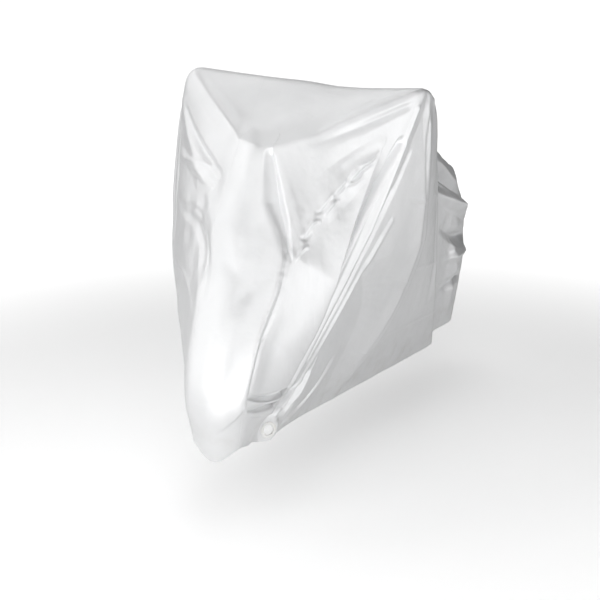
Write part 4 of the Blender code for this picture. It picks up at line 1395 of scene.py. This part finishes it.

# %% [markdown]
# ## Floor and light
#
# A pale floor and a pale room keep the outline soft. The light comes from large soft lamps all
# round, the strongest of them low in front and to the right, and from one lit wall far behind on
# the left, so the nose is brightest and the side falls away to grey. One strong lamp would be
# simpler, but silver cloth shows each lamp on its folds, and a few hard streaks look like foil.

# %% Floor, room and lamps
# painted light: the floor glows for the camera only, and less near the object, which leaves a painted
# shade round it
FLOOR_GLOW_NEAR = 0.32         # the floor's own light as the camera sees it, near the object
FLOOR_GLOW_FAR = 1.0
FLOOR_NEAR, FLOOR_FAR = 1.2, 3.2         # from where to where that changes


def floor_finish():
    """A pale matt floor with painted light that only the camera sees: whiter far off, where it grows
    into the white room, and dimmer near the object as painted shade round it. It lights nothing itself.
    """
    finish = Finish("pale floor")
    place = finish.place()
    drift = finish.noise(place, 1.5)
    colour = finish.blend(drift, (0.90, 0.90, 0.90, 1.0), (0.92, 0.92, 0.92, 1.0))
    far = finish.distance(place, (0.0, 0.0, -BAR_UP)).between(FLOOR_NEAR, FLOOR_FAR)
    seen = finish.add("ShaderNodeLightPath", output="Is Camera Ray")
    # painted light seen only by the camera, weaker near the object as painted shade
    share = seen * (FLOOR_GLOW_NEAR + (FLOOR_GLOW_FAR - FLOOR_GLOW_NEAR) * far)
    glow = finish.blend(share, (0.0, 0.0, 0.0, 1.0), (1.0, 1.0, 1.0, 1.0))
    return finish.surface(Base_Color=colour, Roughness=0.9,
                          Emission_Color=glow, Emission_Strength=1.0)


form = bmesh.new()
bmesh.ops.create_grid(form, x_segments=8, y_segments=8, size=40.0)
bmesh.ops.translate(form, verts=form.verts, vec=(0, 0, -BAR_UP))
floor = form_piece("floor", form, floor_finish())

ROOM_SEEN = 1.0                # brightness of the room behind the object
ROOM_FILL = 0.0                # brightness of the room as it lights the object
WALL_FILL = 0.64               # and of the lit wall behind it
WALL_FROM, WALL_TO = 0.35, 0.80          # how far round from its middle that wall fades in
WALL_TURN = radians(42)        # its middle is this far to the left of straight ahead

world = bpy.data.worlds.new("pale room")
bpy.context.scene.world = world
world.use_nodes = True
tree = world.node_tree
toward = tree.nodes.new("ShaderNodeTexCoord")
ahead_share = tree.nodes.new("ShaderNodeVectorMath")
ahead_share.operation = "DOT_PRODUCT"
ahead_share.inputs[1].default_value = Matrix.Rotation(WALL_TURN, 3, "Z") @ ahead
wall = tree.nodes.new("ShaderNodeMapRange")
wall.inputs["From Min"].default_value = WALL_FROM
wall.inputs["From Max"].default_value = WALL_TO
wall.inputs["To Min"].default_value = ROOM_FILL
wall.inputs["To Max"].default_value = WALL_FILL
path = tree.nodes.new("ShaderNodeLightPath")
strength = tree.nodes.new("ShaderNodeMapRange")
strength.inputs["To Max"].default_value = ROOM_SEEN
room = tree.nodes["Background"]
room.inputs["Color"].default_value = (1.0, 1.0, 1.0, 1.0)
tree.links.new(toward.outputs["Generated"], ahead_share.inputs[0])
tree.links.new(ahead_share.outputs["Value"], wall.inputs["Value"])
tree.links.new(wall.outputs["Result"], strength.inputs["To Min"])
tree.links.new(path.outputs["Is Camera Ray"], strength.inputs["Value"])
tree.links.new(strength.outputs["Result"], room.inputs["Strength"])
bpy.context.scene.view_settings.view_transform = "Standard"

# Headings are counted from the camera's, with the viewer's right as positive.
Lamp = namedtuple("Lamp", "name heading height size power")
LAMPS = (
    Lamp("window", 6, 10, 3.2, 26),
    Lamp("high window", 4, 30, 1.8, 13),
    Lamp("high front", 0, 58, 1.8, 12.5),
    Lamp("top", 0, 88, 1.8, 10),
    Lamp("low right", 53, 5, 3.2, 44),
    Lamp("high right", 45, 50, 1.8, 12),
    Lamp("right", 90, 6, 3.4, 4),
    Lamp("floor right", 86, -7, 1.8, 17),
    Lamp("floor front", 2, -7, 2.6, 38),
    Lamp("floor front left", -30, -7, 2.2, 38),
    Lamp("left front", -55, 15, 2.2, 27),
    Lamp("high front left", -40, 40, 1.8, 13.5),
    Lamp("left", -90, 8, 3.4, 20),
    Lamp("high left", -90, 45, 1.8, 13),
    Lamp("left behind", -140, 35, 2.4, 9),
    Lamp("behind", 180, 60, 1.8, 12),
)
LAMP_AWAY = 4.0                # from the place that all lamps face
LAMP_AIM = Vector((0, 0, -0.45))


def soft_lamp(lamp):
    """A square soft light that faces the middle of the object."""
    light = bpy.data.lights.new(lamp.name, "AREA")
    light.shape = "SQUARE"
    light.size = lamp.size
    light.energy = lamp.power
    turn, rise = CAMERA_HEADING + radians(lamp.heading), radians(lamp.height)
    away = Vector((sin(turn) * cos(rise), -cos(turn) * cos(rise), sin(rise)))
    holder = bpy.data.objects.new(lamp.name, light)
    holder.location = LAMP_AIM + LAMP_AWAY * away
    holder.rotation_euler = away.to_track_quat("Z", "Y").to_euler()
    holder.visible_camera = False
    bpy.context.scene.collection.objects.link(holder)


for lamp in LAMPS:
    soft_lamp(lamp)
print("lamps:", len(LAMPS))
